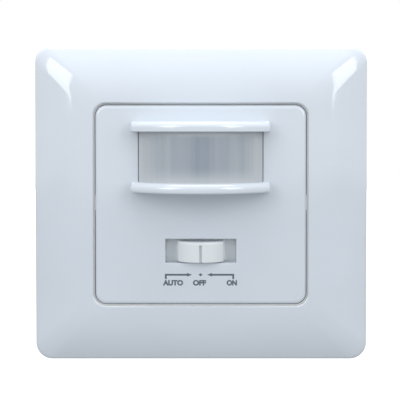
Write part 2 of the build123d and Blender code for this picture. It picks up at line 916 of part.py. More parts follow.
def bridge_diodes():
    """Four diodes lying on the board, each with a bent lead at both ends."""
    diodes = []
    for x, z in diode_places():
        middle = power_board_rise + diode_radius
        lie = Pos(x, -middle, z) * Rot(0, 90, 0)
        wire = diode_length + 2 * (diode_lead_reach + diode_lead_radius)
        diode = lie * Cylinder(diode_radius, diode_length)
        diode += lie * Cylinder(diode_lead_radius, wire)
        leads = supply_leads(x, z, diode_length / 2 + diode_lead_reach)
        diodes.append(with_leads(diode, leads, middle))
    return apart(diodes)


def varistor():
    """Coated disc standing on its two leads."""
    middle = power_board_rise + varistor_stand_off + varistor_radius
    tablet = Pos(varistor_x, -middle, varistor_z) * Cylinder(varistor_radius, varistor_thickness)
    tablet = fillet(tablet.edges().filter_by(GeomType.CIRCLE), varistor_edge)
    return with_leads(tablet, varistor_leads(), middle)


def fuse():
    """Round plug-in fuse."""
    top = power_board_rise + fuse_depth
    body = disc(fuse_x, fuse_z, fuse_radius, power_board_rise, top)
    body = fillet(edges_at_rise(body, top), fuse_edge)
    return with_leads(body, fuse_leads(), power_board_rise)


def relay_floor():
    """Rise of the relay base's inner face."""
    return power_board_rise + relay_base_depth


def relay_pin_places():
    """Two coil pins and two contact pins under the relay."""
    left = relay_x - relay_width / 2 + relay_wall + bobbin_flange + contact_radius
    right = relay_x + contact_x
    offset = relay_height / 2 - relay_wall - bobbin_flange - contact_radius
    return [(x, relay_z + side * offset) for x in (left, right) for side in signs]


def relay_base():
    """Moulded base of the relay with the step that its cover sits on."""
    floor = relay_floor()
    middle = power_board_rise + relay_skirt
    base = block(relay_x, relay_z, relay_width, relay_height, power_board_rise, middle)
    inner_width = relay_width - 2 * (relay_wall + drop_in_gap)
    inner_height = relay_height - 2 * (relay_wall + drop_in_gap)
    base += block(relay_x, relay_z, inner_width, inner_height, middle, floor)
    left_pins = relay_pin_places()[:2]
    low = power_board_rise - relay_pin_length
    for x, z in left_pins:
        base += disc(x, z, supply_lead_radius, low, power_board_rise)
    right_pins = relay_pin_places()[2:]
    hole = supply_lead_radius + lead_gap
    for x, z in right_pins:
        base -= disc(x, z, hole, power_board_rise - cut_overrun, floor + cut_overrun)
    return base


def relay_cover():
    """Moulded cap over the relay."""
    low = power_board_rise + relay_skirt
    top = power_board_rise + relay_depth
    cap = block(relay_x, relay_z, relay_width, relay_height, low, top)
    cap = fillet(edges_at_rise(cap, top), relay_wall / 2)
    inner_width = relay_width - 2 * relay_wall
    inner_height = relay_height - 2 * relay_wall
    high = top - relay_wall
    return cap - block(relay_x, relay_z, inner_width, inner_height, low - cut_overrun, high)


def upright_middle():
    """Middle of the iron frame's upright limb, in x."""
    cover_side = relay_x - relay_width / 2 + relay_wall
    return cover_side + leaf_room + leaf_thickness + leaf_gap + iron_thickness / 2


def pole_rise():
    """Rise of the core's pole face."""
    return relay_floor() + core_tip


def armature_back():
    """Rise of the armature's underside at rest."""
    return pole_rise() + pole_gap


def relay_frame():
    """Iron angle: a limb under the coil and an upright whose top edge carries the armature."""
    floor = relay_floor()
    upright_x = upright_middle()
    right = relay_x + core_x + core_radius
    left = upright_x - iron_thickness / 2
    width = right - left
    limb = block((left + right) / 2, relay_z, width, iron_height, floor, floor + iron_thickness)
    high = armature_back() - knife_gap
    limb += block(upright_x, relay_z, iron_thickness, iron_height, floor, high)
    bore = core_radius + lead_gap
    core_place = relay_x + core_x
    return limb - disc(core_place, relay_z, bore, floor - cut_overrun, floor + iron_thickness + cut_overrun)


def relay_core():
    """Soft iron core with its pole face."""
    return disc(relay_x + core_x, relay_z, core_radius, relay_floor(), pole_rise())


def relay_coil():
    """Bobbin with its winding, over the core."""
    x = relay_x + core_x
    low = relay_floor() + iron_thickness
    high = pole_rise() - bobbin_flange / 2
    coil = block(x, relay_z, bobbin_width, bobbin_height, low, low + bobbin_flange)
    coil += block(x, relay_z, bobbin_width, bobbin_height, high - bobbin_flange, high)
    coil += disc(x, relay_z, winding_radius, low, high)
    bore = core_radius + lead_gap
    return coil - disc(x, relay_z, bore, low - cut_overrun, high + cut_overrun)


def relay_armature():
    """Hinged plate with its spring arm and contact, and the leaf that returns it."""
    back = armature_back()
    front = back + armature_thickness
    hinge_x = upright_middle()
    left = hinge_x - iron_thickness / 2
    plate_x = left + armature_width / 2
    armature = block(plate_x, relay_z, armature_width, iron_height, back, front)
    arm_end = relay_x + arm_end_x
    arm_low = back + armature_thickness / 2
    arm_mid = (plate_x + arm_end) / 2
    armature += block(arm_mid, relay_z, arm_end - plate_x, arm_height, arm_low, front)
    x = relay_x + contact_x
    armature += disc(x, relay_z, contact_radius, arm_low - contact_depth, arm_low)
    leaf_x = left - leaf_gap - leaf_thickness / 2
    leaf_z = iron_height / 2
    armature += block(leaf_x, relay_z, leaf_thickness, leaf_z, front - leaf_length, front)
    bridge_left = leaf_x - leaf_thickness / 2
    bridge_mid = (bridge_left + plate_x) / 2
    return armature + block(bridge_mid, relay_z, plate_x - bridge_left, leaf_z, front - leaf_thickness, front)


def relay_contacts():
    """Fixed contact on its blade, with two pins down through the base."""
    arm_low = armature_back() + armature_thickness / 2
    top = arm_low - contact_depth - contact_gap
    x = relay_x + contact_x
    blade_high = top - contact_depth
    blade = block(x, relay_z, blade_width, blade_width, blade_high - blade_thickness, blade_high)
    blade += disc(x, relay_z, contact_radius, blade_high, top)
    leg_x = x + blade_width / 2 - blade_thickness / 2
    floor = relay_floor()
    blade += block(leg_x, relay_z, blade_thickness, blade_width, floor, blade_high)
    foot_high = floor + blade_thickness
    pins = relay_pin_places()[2:]
    reach = abs(pins[0][1] - pins[1][1])
    blade += block(x, relay_z, blade_width, reach, floor, foot_high)
    low = power_board_rise - relay_pin_length
    for pin_x, pin_z in pins:
        blade += disc(pin_x, pin_z, supply_lead_radius, low, foot_high)
    return blade


def terminal_places():
    """The wire ways of the terminal block, in a row."""
    middle = (terminal_count - 1) / 2
    return [(count - middle) * terminal_spacing for count in range(terminal_count)]


def terminal_block():
    """Moulded block with a cage pocket, a wire entry and a screw bore for each way."""
    width = terminal_count * terminal_spacing + 2 * terminal_end_wall
    middle = terminal_low + terminal_height / 2
    body = block(0, middle, width, terminal_height, terminal_back, power_board_back)
    pocket = cage_width + 2 * snap_gap
    pocket_height = cage_height + 2 * snap_gap
    pocket_low = cage_back - snap_gap
    entry_bottom = terminal_low - cut_overrun
    entry_height = terminal_centre - entry_bottom
    entry_middle = (terminal_centre + entry_bottom) / 2
    entry_low = terminal_entry_rise - terminal_entry / 2
    entry_high = terminal_entry_rise + terminal_entry / 2
    bore = clamp_head_radius + sliding_gap
    for x in terminal_places():
        high = power_board_back + cut_overrun
        body -= block(x, terminal_centre, pocket, pocket_height, pocket_low, high)
        body -= block(x, entry_middle, terminal_entry, entry_height, entry_low, entry_high)
        body -= disc(x, terminal_centre, bore, terminal_back - cut_overrun, pocket_low + cut_overrun)
    return body


def terminal_cages():
    """Brass cages that the wires go into, each with a leg through the board."""
    cages = []
    inner_height = cage_height + 2 * cut_overrun
    low, high = terminal_entry_rise - cage_inner / 2, terminal_entry_rise + cage_inner / 2
    for x in terminal_places():
        cage = block(x, terminal_centre, cage_width, cage_height, cage_back, cage_front)
        cage -= block(x, terminal_centre, cage_inner, inner_height, low, high)
        bore = clamp_screw_radius + lead_gap
        cage -= disc(x, terminal_centre, bore, cage_back - cut_overrun, terminal_entry_rise)
        leg = supply_lead_radius * 2
        leg_high = power_board_rise + supply_lead_length / 2
        cage += block(x, terminal_centre, leg, leg, cage_front, leg_high)
        cages.append(cage)
    return apart(cages)


def terminal_screws():
    """Clamp screws of the three ways, turned from behind."""
    length = cage_thread_wall
    return apart(
        screw(
            x, terminal_centre, cage_back, 1,
            clamp_screw_radius, length, clamp_head_radius, clamp_head_height,
        )
        for x in terminal_places()
    )


def trimmer_bodies():
    """Square bodies of the two controls, each with a bore for its adjuster."""
    bodies = []
    back = power_board_back - trimmer_depth
    for side in signs:
        x = side * trimmer_x
        body = block(x, trimmer_z, trimmer_size, trimmer_size, back, power_board_back)
        body = fillet(edges_at_rise(body, back), adjuster_slot / 2)
        bore = adjuster_stem_radius + turning_gap
        bore_end = back + adjuster_stem_length + turning_gap
        bodies.append(body - disc(x, trimmer_z, bore, back - cut_overrun, bore_end))
    return apart(bodies)


def adjuster(side):
    """Turning dial of a control, slotted for a screwdriver, seen through the housing's back."""
    x = side * trimmer_x
    seat = power_board_back - trimmer_depth - turning_gap
    end = seat - adjuster_length
    dial = disc(x, trimmer_z, adjuster_radius, end, seat)
    dial += disc(x, trimmer_z, adjuster_stem_radius, seat, seat + adjuster_stem_length)
    slot_length = 2 * adjuster_radius - adjuster_slot
    low, high = end - cut_overrun, end + adjuster_slot_depth
    return dial - block(x, trimmer_z, adjuster_slot, slot_length, low, high)


def power_board():
    """Rear board, held by two screws and two rests of the housing."""
    blank = board(power_board_rise)
    screws = [(side * power_post_x, power_post_z) for side in signs]
    blank = drill(blank, screws, board_screw_radius + lead_gap, power_board_rise)
    leads = film_leads() + varistor_leads() + fuse_leads() + electrolytic_leads()
    leads += diode_leads() + relay_pin_places()
    blank = drill(blank, leads, supply_lead_radius + lead_gap, power_board_rise)
    legs = [(x, terminal_centre) for x in terminal_places()]
    return drill(blank, legs, supply_lead_radius * 2 + lead_gap, power_board_rise)


def power_board_screws():
    """Two screws through the power board into the housing's posts."""
    return apart(
        screw(
            side * power_post_x, power_post_z, power_board_rise, -1,
            board_screw_radius, board_screw_length, board_screw_head_radius, board_screw_head_height,
        )
        for side in signs
    )


def rear_housing():
    """Box behind the wall plane, with its flange, columns, posts, wire window and tool holes."""
    outline = RectangleRounded(housing_width, housing_height, housing_corner)
    inner_width = housing_width - 2 * housing_wall
    inner_height = housing_height - 2 * housing_wall
    inner = RectangleRounded(inner_width, inner_height, housing_corner - housing_wall)
    flange = RectangleRounded(flange_width, flange_height, flange_corner)
    box = plate(outline, -housing_depth, flange_rise)
    box += plate(flange, yoke_thickness, flange_rise)
    box -= plate(inner, housing_floor, flange_rise + cut_overrun)
    for side, level in corners:
        x, z = side * column_x, level * column_z
        box += disc(x, z, column_radius, housing_floor, column_rise)
        box -= disc(x, z, column_head_bore, -housing_depth - cut_overrun, column_ledge_rise)
        bore = panel_screw_radius + lead_gap
        box -= disc(x, z, bore, column_ledge_rise - cut_overrun, column_rise + cut_overrun)
        box -= disc(x, z, boss_radius + drop_in_gap, column_rise, flange_rise + cut_overrun)
        screw_hole = yoke_screw_radius + lead_gap
        low, high = yoke_thickness - cut_overrun, flange_rise + cut_overrun
        box -= disc(side * yoke_screw_x, level * yoke_screw_z, screw_hole, low, high)
    for side in signs:
        x = side * power_post_x
        for z in (power_post_z, power_rest_z):
            box += disc(x, z, power_post_radius, housing_floor, power_board_back)
        pilot_low = power_board_rise - board_screw_length - lead_gap
        pilot = board_screw_radius + lead_gap
        box -= disc(x, power_post_z, pilot, pilot_low, power_board_back + cut_overrun)
        hole = adjuster_radius + adjuster_hole_gap
        low, high = -housing_depth - cut_overrun, housing_floor + cut_overrun
        box -= disc(side * trimmer_x, trimmer_z, hole, low, high)
    for x in terminal_places():
        hole = clamp_head_radius + sliding_gap
        low, high = -housing_depth - cut_overrun, housing_floor + cut_overrun
        box -= disc(x, terminal_centre, hole, low, high)
        entry_low = terminal_entry_rise - terminal_entry / 2
        entry_high = terminal_entry_rise + terminal_entry / 2
        entry_z = housing_wall / 2 - housing_height / 2
        reach = housing_wall + 2 * cut_overrun
        box -= block(x, entry_z, terminal_entry, reach, entry_low, entry_high)
    middle = (vent_count - 1) / 2
    for count in range(vent_count):
        x = (count - middle) * vent_spacing
        vent_z = housing_height / 2 - housing_wall / 2
        reach = housing_wall + 2 * cut_overrun
        low, high = vent_rise - vent_length / 2, vent_rise + vent_length / 2
        box -= block(x, vent_z, vent_width, reach, low, high)
    return box


def housing_screws():
    """Four screws from behind, through the columns into the panel's bosses."""
    return apart(
        screw(
            side * column_x, level * column_z, column_ledge_rise, 1,
            panel_screw_radius, panel_screw_length, panel_screw_head_radius, panel_screw_head_height,
        )
        for side, level in corners
    )


def mounting_yoke():
    """Steel strap: window for the housing, box-screw slots, threaded holes and clip tabs."""
    outline = RectangleRounded(yoke_width, yoke_height, yoke_corner)
    strap = plate(outline, 0, yoke_thickness)
    across = housing_width + 2 * yoke_window_gap
    upright = housing_height + 2 * yoke_window_gap
    window = RectangleRounded(across, upright, housing_corner + yoke_window_gap)
    low, high = -cut_overrun, yoke_thickness + cut_overrun
    strap -= plate(window, low, high)
    for side in signs:
        slot = SlotOverall(box_slot_length, box_slot_width)
        strap -= plate(Pos(side * box_screw_spacing / 2, 0) * slot, low, high)
    window_middle = (yoke_thickness + tab_rise) / 2
    window_low = window_middle - tab_window_height / 2
    window_high = window_middle + tab_window_height / 2
    for side, level in corners:
        hole = yoke_screw_radius + lead_gap
        strap -= disc(side * yoke_screw_x, level * yoke_screw_z, hole, low, high)
        tab_x = side * (yoke_width / 2 - yoke_thickness / 2)
        tab_z = level * tab_place
        strap += block(tab_x, tab_z, yoke_thickness, tab_width, yoke_thickness, tab_rise)
        reach = yoke_thickness + 2 * cut_overrun
        strap -= block(tab_x, tab_z, reach, tab_window_width, window_low, window_high)
    return strap


def yoke_screws():
    """Four screws through the housing's flange into the yoke."""
    return apart(
        screw(
            side * yoke_screw_x, level * yoke_screw_z, flange_rise, -1,
            yoke_screw_radius, yoke_screw_length, yoke_screw_head_radius, yoke_screw_head_height,
        )
        for side, level in corners
    )


pieces = {
    "outer_frame": outer_frame(),
    "front_panel": front_panel(),
    "pir_lens": pir_lens(),
    "lens_holder": lens_holder(),
    "slide_knob": slide_knob(),
    "pir_sensor_can": pir_sensor_can(),
    "pir_filter_window": pir_filter_window(),
    "pir_base": pir_base(),
    "light_sensor": light_sensor(),
    "sensor_board": sensor_board(),
    "control_chip": control_chip(),
    "board_screws": board_screws(),
    "switch_shell": switch_shell(),
    "switch_base": switch_base(),
    "switch_pins": switch_pins(),
    "switch_slider": switch_slider(),
    "contact_bridge": contact_bridge(),
    "link_header": link_header(),
    "link_pins": link_pins(),
    "link_socket": link_socket(),
    "power_board": power_board(),
    "power_board_screws": power_board_screws(),
    "relay_base": relay_base(),
    "relay_frame": relay_frame(),
    "relay_core": relay_core(),
    "relay_coil": relay_coil(),
    "relay_armature": relay_armature(),
    "relay_contacts": relay_contacts(),
    "relay_cover": relay_cover(),
    "film_capacitor": film_capacitor(),
    "storage_capacitors": storage_capacitors(),
    "bridge_diodes": bridge_diodes(),
    "varistor": varistor(),
    "fuse": fuse(),
    "terminal_block": terminal_block(),
    "terminal_cages": terminal_cages(),
    "terminal_screws": terminal_screws(),
    "trimmer_bodies": trimmer_bodies(),
    "time_adjuster": adjuster(-1),
    "light_adjuster": adjuster(1),
    "rear_housing": rear_housing(),
    "housing_screws": housing_screws(),
    "mounting_yoke": mounting_yoke(),
    "yoke_screws": yoke_screws(),
}

os.makedirs("parts", exist_ok=True)
for name, piece in pieces.items():
    export_step(piece, f"parts/{name}.step")
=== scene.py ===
import bmesh
import bpy
import numpy as np
from math import radians
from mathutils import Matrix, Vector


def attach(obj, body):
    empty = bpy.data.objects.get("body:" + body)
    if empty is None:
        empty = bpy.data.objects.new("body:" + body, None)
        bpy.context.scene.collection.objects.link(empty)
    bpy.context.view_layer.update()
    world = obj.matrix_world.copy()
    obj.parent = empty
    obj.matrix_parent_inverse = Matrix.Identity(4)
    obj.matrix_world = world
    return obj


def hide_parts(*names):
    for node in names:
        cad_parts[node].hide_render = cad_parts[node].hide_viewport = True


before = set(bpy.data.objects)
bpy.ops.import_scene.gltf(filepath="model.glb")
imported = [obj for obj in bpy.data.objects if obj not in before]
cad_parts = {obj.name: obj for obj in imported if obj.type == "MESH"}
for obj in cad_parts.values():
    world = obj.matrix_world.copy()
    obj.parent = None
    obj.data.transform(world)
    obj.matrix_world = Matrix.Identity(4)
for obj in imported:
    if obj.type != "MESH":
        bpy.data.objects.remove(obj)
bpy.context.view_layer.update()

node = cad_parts


# Outer frame: a white moulded surround, snapped over the yoke's tabs. Its front is one arc in
# section that falls from the panel to a rounded rim, and the same section runs round all four
# sides, so it turns through a narrow cone at each corner. Pieces are sized in millimetres.
frame_opening = np.array([28.6, 27.05])
frame_half = np.array([45.0, 42.5])
frame_opening_corner, frame_corner = 3.5, 4.5
frame_face, frame_rim, frame_wall = 9.0, 4.04, 2.0
frame_margin, frame_fall = frame_half[0] - frame_opening[0], frame_face - frame_rim
frame_radius = (frame_margin**2 + frame_fall**2) / (2 * frame_fall)
opening_lip, rim_rounding, foot_rounding = 0.35, 1.8, 0.3
collar_wall, collar_foot = 1.5, 5.5
ledge_reach, ledge_low, ledge_high = 0.38, 7.3, 8.2
ledge_roundings = [0.05, 0.08, 0.08, 0.05]
arm_place, nub_place, clip_level = 38.9, 38.5, 20
clip_arm = dict(half=(0.7, 5), corner=0.2, low=1.8, high=5.3, edge=0.15)
clip_nub = dict(half=(1.1, 2.8), corner=0.15, low=2.2, high=3.4, edge=0.12)
white_plastic = (0.625, 0.678, 0.745)
white_gloss = dict(roughness=0.09, roughness_shift=0.02, ior=1.75)
joint_width, joint_depth = 0.05, 0.4
# Painted shade: the darker neutral grey of the frame's walls inside the joint.
painted_joint_shade = (0.6, 0.61, 0.605)


def grid_faces(rows, columns, wrap_rows=False, wrap_columns=False):
    """Quads of a grid numbered row by row: point (i, j) is i times columns plus j, and a wrapped
    direction joins its last line to its first."""
    i, j = np.arange(rows - (not wrap_rows)), np.arange(columns - (not wrap_columns))
    i, j = np.meshgrid(i, j, indexing="ij")
    i2, j2 = (i + 1) % rows, (j + 1) % columns
    quads = [i * columns + j, i * columns + j2, i2 * columns + j2, i2 * columns + j]
    return np.stack(quads, -1).reshape(-1, 4)


def ring_guides(arc_steps=12, side_steps=8):
    """Guides round a rounded rectangle. A point is S times (half size minus corner) plus D times
    corner: S runs between the four corner centres as shares from -1 to 1, and D is the outward
    direction."""
    turn = np.linspace(0, np.pi / 2, arc_steps + 1)
    signs = np.array([(1, 1), (-1, 1), (-1, -1), (1, -1)], float)
    share = np.linspace(0, 1, side_steps + 1)[1:-1, None]
    places, directions = [], []
    for quarter in range(4):
        angle = turn + quarter * np.pi / 2
        way = np.stack([np.cos(angle), np.sin(angle)], 1)
        here, there = signs[quarter], signs[(quarter + 1) % 4]
        places += [np.tile(here, (arc_steps + 1, 1)), here + share * (there - here)]
        directions += [way, np.tile(way[-1], (side_steps - 1, 1))]
    return np.concatenate(places), np.concatenate(directions)


def ring_surface(guides, half, corner, rise, middle=(0, 0)):
    """Rings stacked over a rounded rectangle: ring i has half size half[i] and corner corner[i]
    and lies at rise[i]. Returns points as (rings, points, x rise z)."""
    place, way = guides
    half, corner, rise = np.atleast_2d(half), np.asarray(corner, float), np.asarray(rise, float)
    flat = place[None] * (half[:, None] - corner[:, None, None])
    flat = flat + way[None] * corner[:, None, None]
    lift = np.broadcast_to(rise[:, None], flat.shape[:2])
    return np.stack([flat[..., 0] + middle[0], lift, flat[..., 1] + middle[1]], -1)


def soften(corners, radii, steps=6):
    """A run of straight lines whose corners become arcs: each arc touches both lines at radius
    times the tangent of half the turn from the corner."""
    corners = np.asarray(corners, float)
    out = [corners[:1]]
    for before, at, after, radius in zip(corners[:-2], corners[1:-1], corners[2:], radii):
        back, on = before - at, after - at
        back, on = back / np.linalg.norm(back), on / np.linalg.norm(on)
        half_turn = (np.pi - np.arccos(np.clip(back @ on, -1, 1))) / 2
        start = at + back * radius * np.tan(half_turn)
        centre = at + (back + on) / np.linalg.norm(back + on) * radius / np.cos(half_turn)
        spoke = start - centre
        angle = np.linspace(0, 2 * half_turn, steps + 1)[:, None]
        out.append(centre + spoke * np.cos(angle) - back * radius * np.sin(angle))
    out.append(corners[-1:])
    return np.concatenate(out)


def soft_bar(half, corner, low, high, edge, middle=(0, 0), low_edge=None, steps=5):
    """A closed bar square to the wall with rounded edges: rings over a rounded rectangle, drawn
    in along an arc at both ends, and a flat cap on each."""
    low_edge = edge if low_edge is None else low_edge
    turn = np.linspace(0, np.pi / 2, steps + 1)
    inset = np.concatenate([low_edge * (1 - np.sin(turn)), edge * (1 - np.cos(turn))])
    foot = low + low_edge * (1 - np.cos(turn))
    rise = np.concatenate([foot, high - edge + edge * np.sin(turn)])
    half = np.asarray(half, float)
    corners = np.maximum(corner - inset, 0.01)
    points = ring_surface(ring_guides(6, 4), half[None] - inset[:, None], corners, rise, middle)
    rows, columns = points.shape[:2]
    caps = [list(range(columns)), list(range((rows - 1) * columns, rows * columns))]
    return points.reshape(-1, 3), grid_faces(rows, columns, False, True).tolist() + caps


def make_piece(name, parts, material, body, replaced=(), sharp=38):
    """Joins the parts of one moulding into a mesh in metres, merges its doubles, turns its faces
    outwards and makes it ride on its body. Points are given as x, rise and z in millimetres."""
    points = np.concatenate([p for p, _ in parts])
    starts = np.cumsum([0] + [len(p) for p, _ in parts])
    faces = [
        [int(c) + int(start) for c in face]
        for start, (_, part) in zip(starts, parts) for face in part
    ]
    placed = np.stack([points[:, 0], -points[:, 1], points[:, 2]], 1) * 0.001
    mesh = bpy.data.meshes.new(name)
    mesh.from_pydata(placed.tolist(), [], faces)
    mesh.validate()
    bm = bmesh.new()
    bm.from_mesh(mesh)
    bmesh.ops.remove_doubles(bm, verts=bm.verts, dist=2e-6)
    bmesh.ops.recalc_face_normals(bm, faces=bm.faces)
    bm.to_mesh(mesh)
    bm.free()
    mesh.shade_smooth()
    mesh.set_sharp_from_angle(angle=radians(sharp))
    mesh.materials.append(material)
    piece = bpy.data.objects.new(name, mesh)
    bpy.context.scene.collection.objects.link(piece)
    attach(piece, body)
    if replaced:
        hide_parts(*replaced)


def blank_material(name):
    """A new material with its shader, and its Object coordinates as the start of every pattern."""
    material = bpy.data.materials.new(name)
    material.use_nodes = True
    tree = material.node_tree
    place = tree.nodes.new("ShaderNodeTexCoord")
    return material, tree, tree.nodes["Principled BSDF"], place.outputs["Object"]


def feed(tree, socket, value):
    """Gives a socket another socket's value, or a plain number or colour."""
    if isinstance(value, bpy.types.NodeSocket):
        tree.links.new(value, socket)
    else:
        socket.default_value = value


def work_out(tree, operation, *values):
    """The result of a sum on sockets and plain numbers."""
    step = tree.nodes.new("ShaderNodeMath")
    step.operation = operation
    for socket, value in zip(step.inputs, values):
        feed(tree, socket, value)
    return step.outputs[0]


def split(tree, place):
    """The three coordinates of a place, by their letters."""
    parts = tree.nodes.new("ShaderNodeSeparateXYZ")
    tree.links.new(place, parts.inputs["Vector"])
    return {axis: parts.outputs[axis] for axis in "XYZ"}


def noise(tree, place, scale, detail=3.0, stretch=(1, 1, 1)):
    """Noise over the object, with its coordinates stretched first. The scale is in cells a
    metre."""
    mapping = tree.nodes.new("ShaderNodeMapping")
    mapping.inputs["Scale"].default_value = stretch
    texture = tree.nodes.new("ShaderNodeTexNoise")
    texture.inputs["Scale"].default_value = scale
    texture.inputs["Detail"].default_value = detail
    tree.links.new(place, mapping.inputs["Vector"])
    tree.links.new(mapping.outputs["Vector"], texture.inputs["Vector"])
    return texture.outputs["Fac"]


def spread(tree, value, low, high, start=0.3, end=0.7):
    """Maps a value that runs from start to end, as noise mostly does from 0.3 to 0.7, to the
    range from low to high."""
    remap = tree.nodes.new("ShaderNodeMapRange")
    remap.inputs["From Min"].default_value = start
    remap.inputs["From Max"].default_value = end
    remap.inputs["To Min"].default_value = low
    remap.inputs["To Max"].default_value = high
    tree.links.new(value, remap.inputs["Value"])
    return remap.outputs["Result"]


def tint(tree, value, colour, other, blend="MIX"):
    """Mixes two colours, each a tone or a socket, by a value from 0 to 1."""
    mix = tree.nodes.new("ShaderNodeMix")
    mix.data_type, mix.blend_type = "RGBA", blend
    feed(tree, mix.inputs["Factor"], value)
    for letter, tone in zip("AB", (colour, other)):
        feed(tree, mix.inputs[letter], (*tone, 1) if isinstance(tone, tuple) else tone)
    return mix.outputs["Result"]


def relief(tree, shader, value, strength, depth):
    """Raises the surface by a value, depth metres at most."""
    bump = tree.nodes.new("ShaderNodeBump")
    bump.inputs["Strength"].default_value = strength
    bump.inputs["Distance"].default_value = depth
    tree.links.new(value, bump.inputs["Height"])
    tree.links.new(bump.outputs["Normal"], shader.inputs["Normal"])


def paint(tree, shader, colour, roughness):
    """Lets a pattern of colour and one of roughness drive the finish."""
    tree.links.new(colour, shader.inputs["Base Color"])
    tree.links.new(roughness, shader.inputs["Roughness"])


def moulded(
    name, colour, roughness, grain=1400, grain_depth=2e-6, shift=0.03, roughness_shift=0.03,
    ior=1.6,
):
    """Moulded plastic: a slow drift of tone from the melt's flow, a fine spark-eroded grain and a
    finish that varies a little."""
    material, tree, shader, place = blank_material(name)
    flow = spread(tree, noise(tree, place, 45, 2.0, (1, 1, 1.6)), 0, 1)
    darker = tuple(c * (1 - shift) for c in colour)
    handled = noise(tree, place, 160, 3.0)
    handled = spread(tree, handled, roughness - roughness_shift, roughness + roughness_shift)
    paint(tree, shader, tint(tree, flow, colour, darker), handled)
    relief(tree, shader, noise(tree, place, grain, 2.0), 0.6, grain_depth)
    shader.inputs["IOR"].default_value = ior
    return material


def frame_section():
    """The frame's closed section as (distance out from the opening, rise): edge of the opening,
    arc, rounded rim, side, foot, inner side, inner arc and collar with its ledge. The arc is
    radius times the sine of its turn out, and radius times the cosine up from its centre."""
    hair = 0.02
    centre = frame_face - frame_radius
    reach = frame_radius - rim_rounding
    rim_turn = np.arcsin((frame_margin - rim_rounding) / reach)
    turn = np.linspace(0, np.pi / 2, 7)[:, None]
    edge = opening_lip * np.concatenate([1 - np.cos(turn), np.sin(turn) - 1], 1)
    edge = edge + (0, frame_face)
    turn = np.linspace(np.arcsin((opening_lip + 2 * hair) / frame_radius), rim_turn, 44)
    arc = np.stack([frame_radius * np.sin(turn), centre + frame_radius * np.cos(turn)], 1)
    turn = np.linspace(rim_turn, np.pi / 2, 15)[1:]
    rim = np.array([reach * np.sin(rim_turn), centre + reach * np.cos(rim_turn)])
    rim = rim + rim_rounding * np.stack([np.sin(turn), np.cos(turn)], 1)
    inner = frame_radius - frame_wall
    inner_out = frame_margin - frame_wall
    turn = np.linspace(np.arcsin(inner_out / inner), np.arcsin(collar_wall / inner), 16)
    inner_arc = np.stack([inner * np.sin(turn), centre + inner * np.cos(turn)], 1)
    foot = [rim[-1] - (0, hair), (frame_margin, 0), (inner_out, 0), inner_arc[0] - (0, hair)]
    foot = soften(foot, [foot_rounding, foot_rounding], 4)
    collar = [inner_arc[-1] - (0, hair), (collar_wall, collar_foot), (0, collar_foot)]
    collar += [(0, ledge_low), (-ledge_reach, ledge_low)]
    collar += [(-ledge_reach, ledge_high), (0, ledge_high), edge[0] - (0, hair)]
    collar = soften(collar, [foot_rounding, foot_rounding, *ledge_roundings], 4)
    return np.concatenate([edge, arc, rim, foot, inner_arc, collar])


distance, rise = frame_section().T
share, inside = distance / frame_margin, distance < 0
widening = np.where(
    inside[:, None], distance[:, None], share[:, None] * (frame_half - frame_opening),
)
rounding = np.where(inside, distance, share * (frame_corner - frame_opening_corner))
frame_points = ring_surface(
    ring_guides(18, 14), frame_opening + widening, frame_opening_corner + rounding, rise,
)
frame_rings = grid_faces(*frame_points.shape[:2], True, True).tolist()
frame_parts = [(frame_points.reshape(-1, 3), frame_rings)]
for side in (-1, 1):
    for level in (-clip_level, clip_level):
        frame_parts.append(soft_bar(middle=(side * arm_place, level), **clip_arm))
        frame_parts.append(soft_bar(middle=(side * nub_place, level), **clip_nub))
frame_finish = moulded("frame_moulding", white_plastic, **white_gloss)

# Inside the joint with the panel the frame's walls get painted shade: a darker neutral grey that
# stands in for the shade in the narrow gap.
tree = frame_finish.node_tree
shader = tree.nodes["Principled BSDF"]
axes = split(tree, tree.nodes["Texture Coordinate"].outputs["Object"])
joint_x, joint_z = frame_opening + joint_width
joint_shade_mask = 1.0
for axis, limit in zip("XYZ", (joint_x, frame_face - joint_depth, joint_z)):
    away = work_out(tree, "ABSOLUTE", axes[axis])
    within = work_out(tree, "LESS_THAN", away, limit * 0.001)
    joint_shade_mask = work_out(tree, "MULTIPLY", within, joint_shade_mask)
skin = shader.inputs["Base Color"].links[0].from_socket
tree.links.new(tint(tree, joint_shade_mask, skin, painted_joint_shade), shader.inputs["Base Color"])
make_piece("surround", frame_parts, frame_finish, "root", ["outer_frame"])


# Front panel: a white moulded plate in the frame's opening, with a soft edge, a window for the
# lens between two bowed lips, and a slot for the knob. Bosses and posts stand behind it.
panel_half = np.array([28.1, 26.55])
panel_corner, panel_edge = 3.0, 1.0
panel_face, panel_back, panel_skirt = 9.0, 7.0, 4.6
panel_wall, panel_foot_edge, ring_gap = 1.6, 0.2, 0.1
window_half = np.array([16.6, 6.6])
window_middle = np.array([0.0, 12.8])
slot_half = np.array([9.425, 3.175])
slot_middle = np.array([0.0, -12.31])
slot_floor = 6.0
hole_edge, hole_edge_depth = 0.25, 0.3
upper_lip, lower_lip = (19.4, 22.1), (3.5, 6.2)
lip_half, lip_bow, lip_tip, lip_foot, lip_rounding = 18.4, 7.8, 20.3, 8.74, 1.6
guide_rib = dict(half=(12.4, 0.5), corner=0.2, low=4.2, high=panel_back, edge=0.1)
board_post = dict(radius=2.4, low=-4.4, high=panel_back, edge=0.1, low_edge=0.3)
screw_boss = dict(radius=2.4, low=1.0, high=panel_back, edge=0.1, low_edge=0.3)
stake_head = dict(radius=1.1, low=4.1, high=4.6, edge=0.2)
stake_stem = dict(radius=0.7, low=4.3, high=panel_back, edge=0.1)
rib_offset, board_post_x, boss_x, boss_z = 4.525, 18.0, 20.6, 19.5
stake_x, stake_offset = 17.0, 8.75


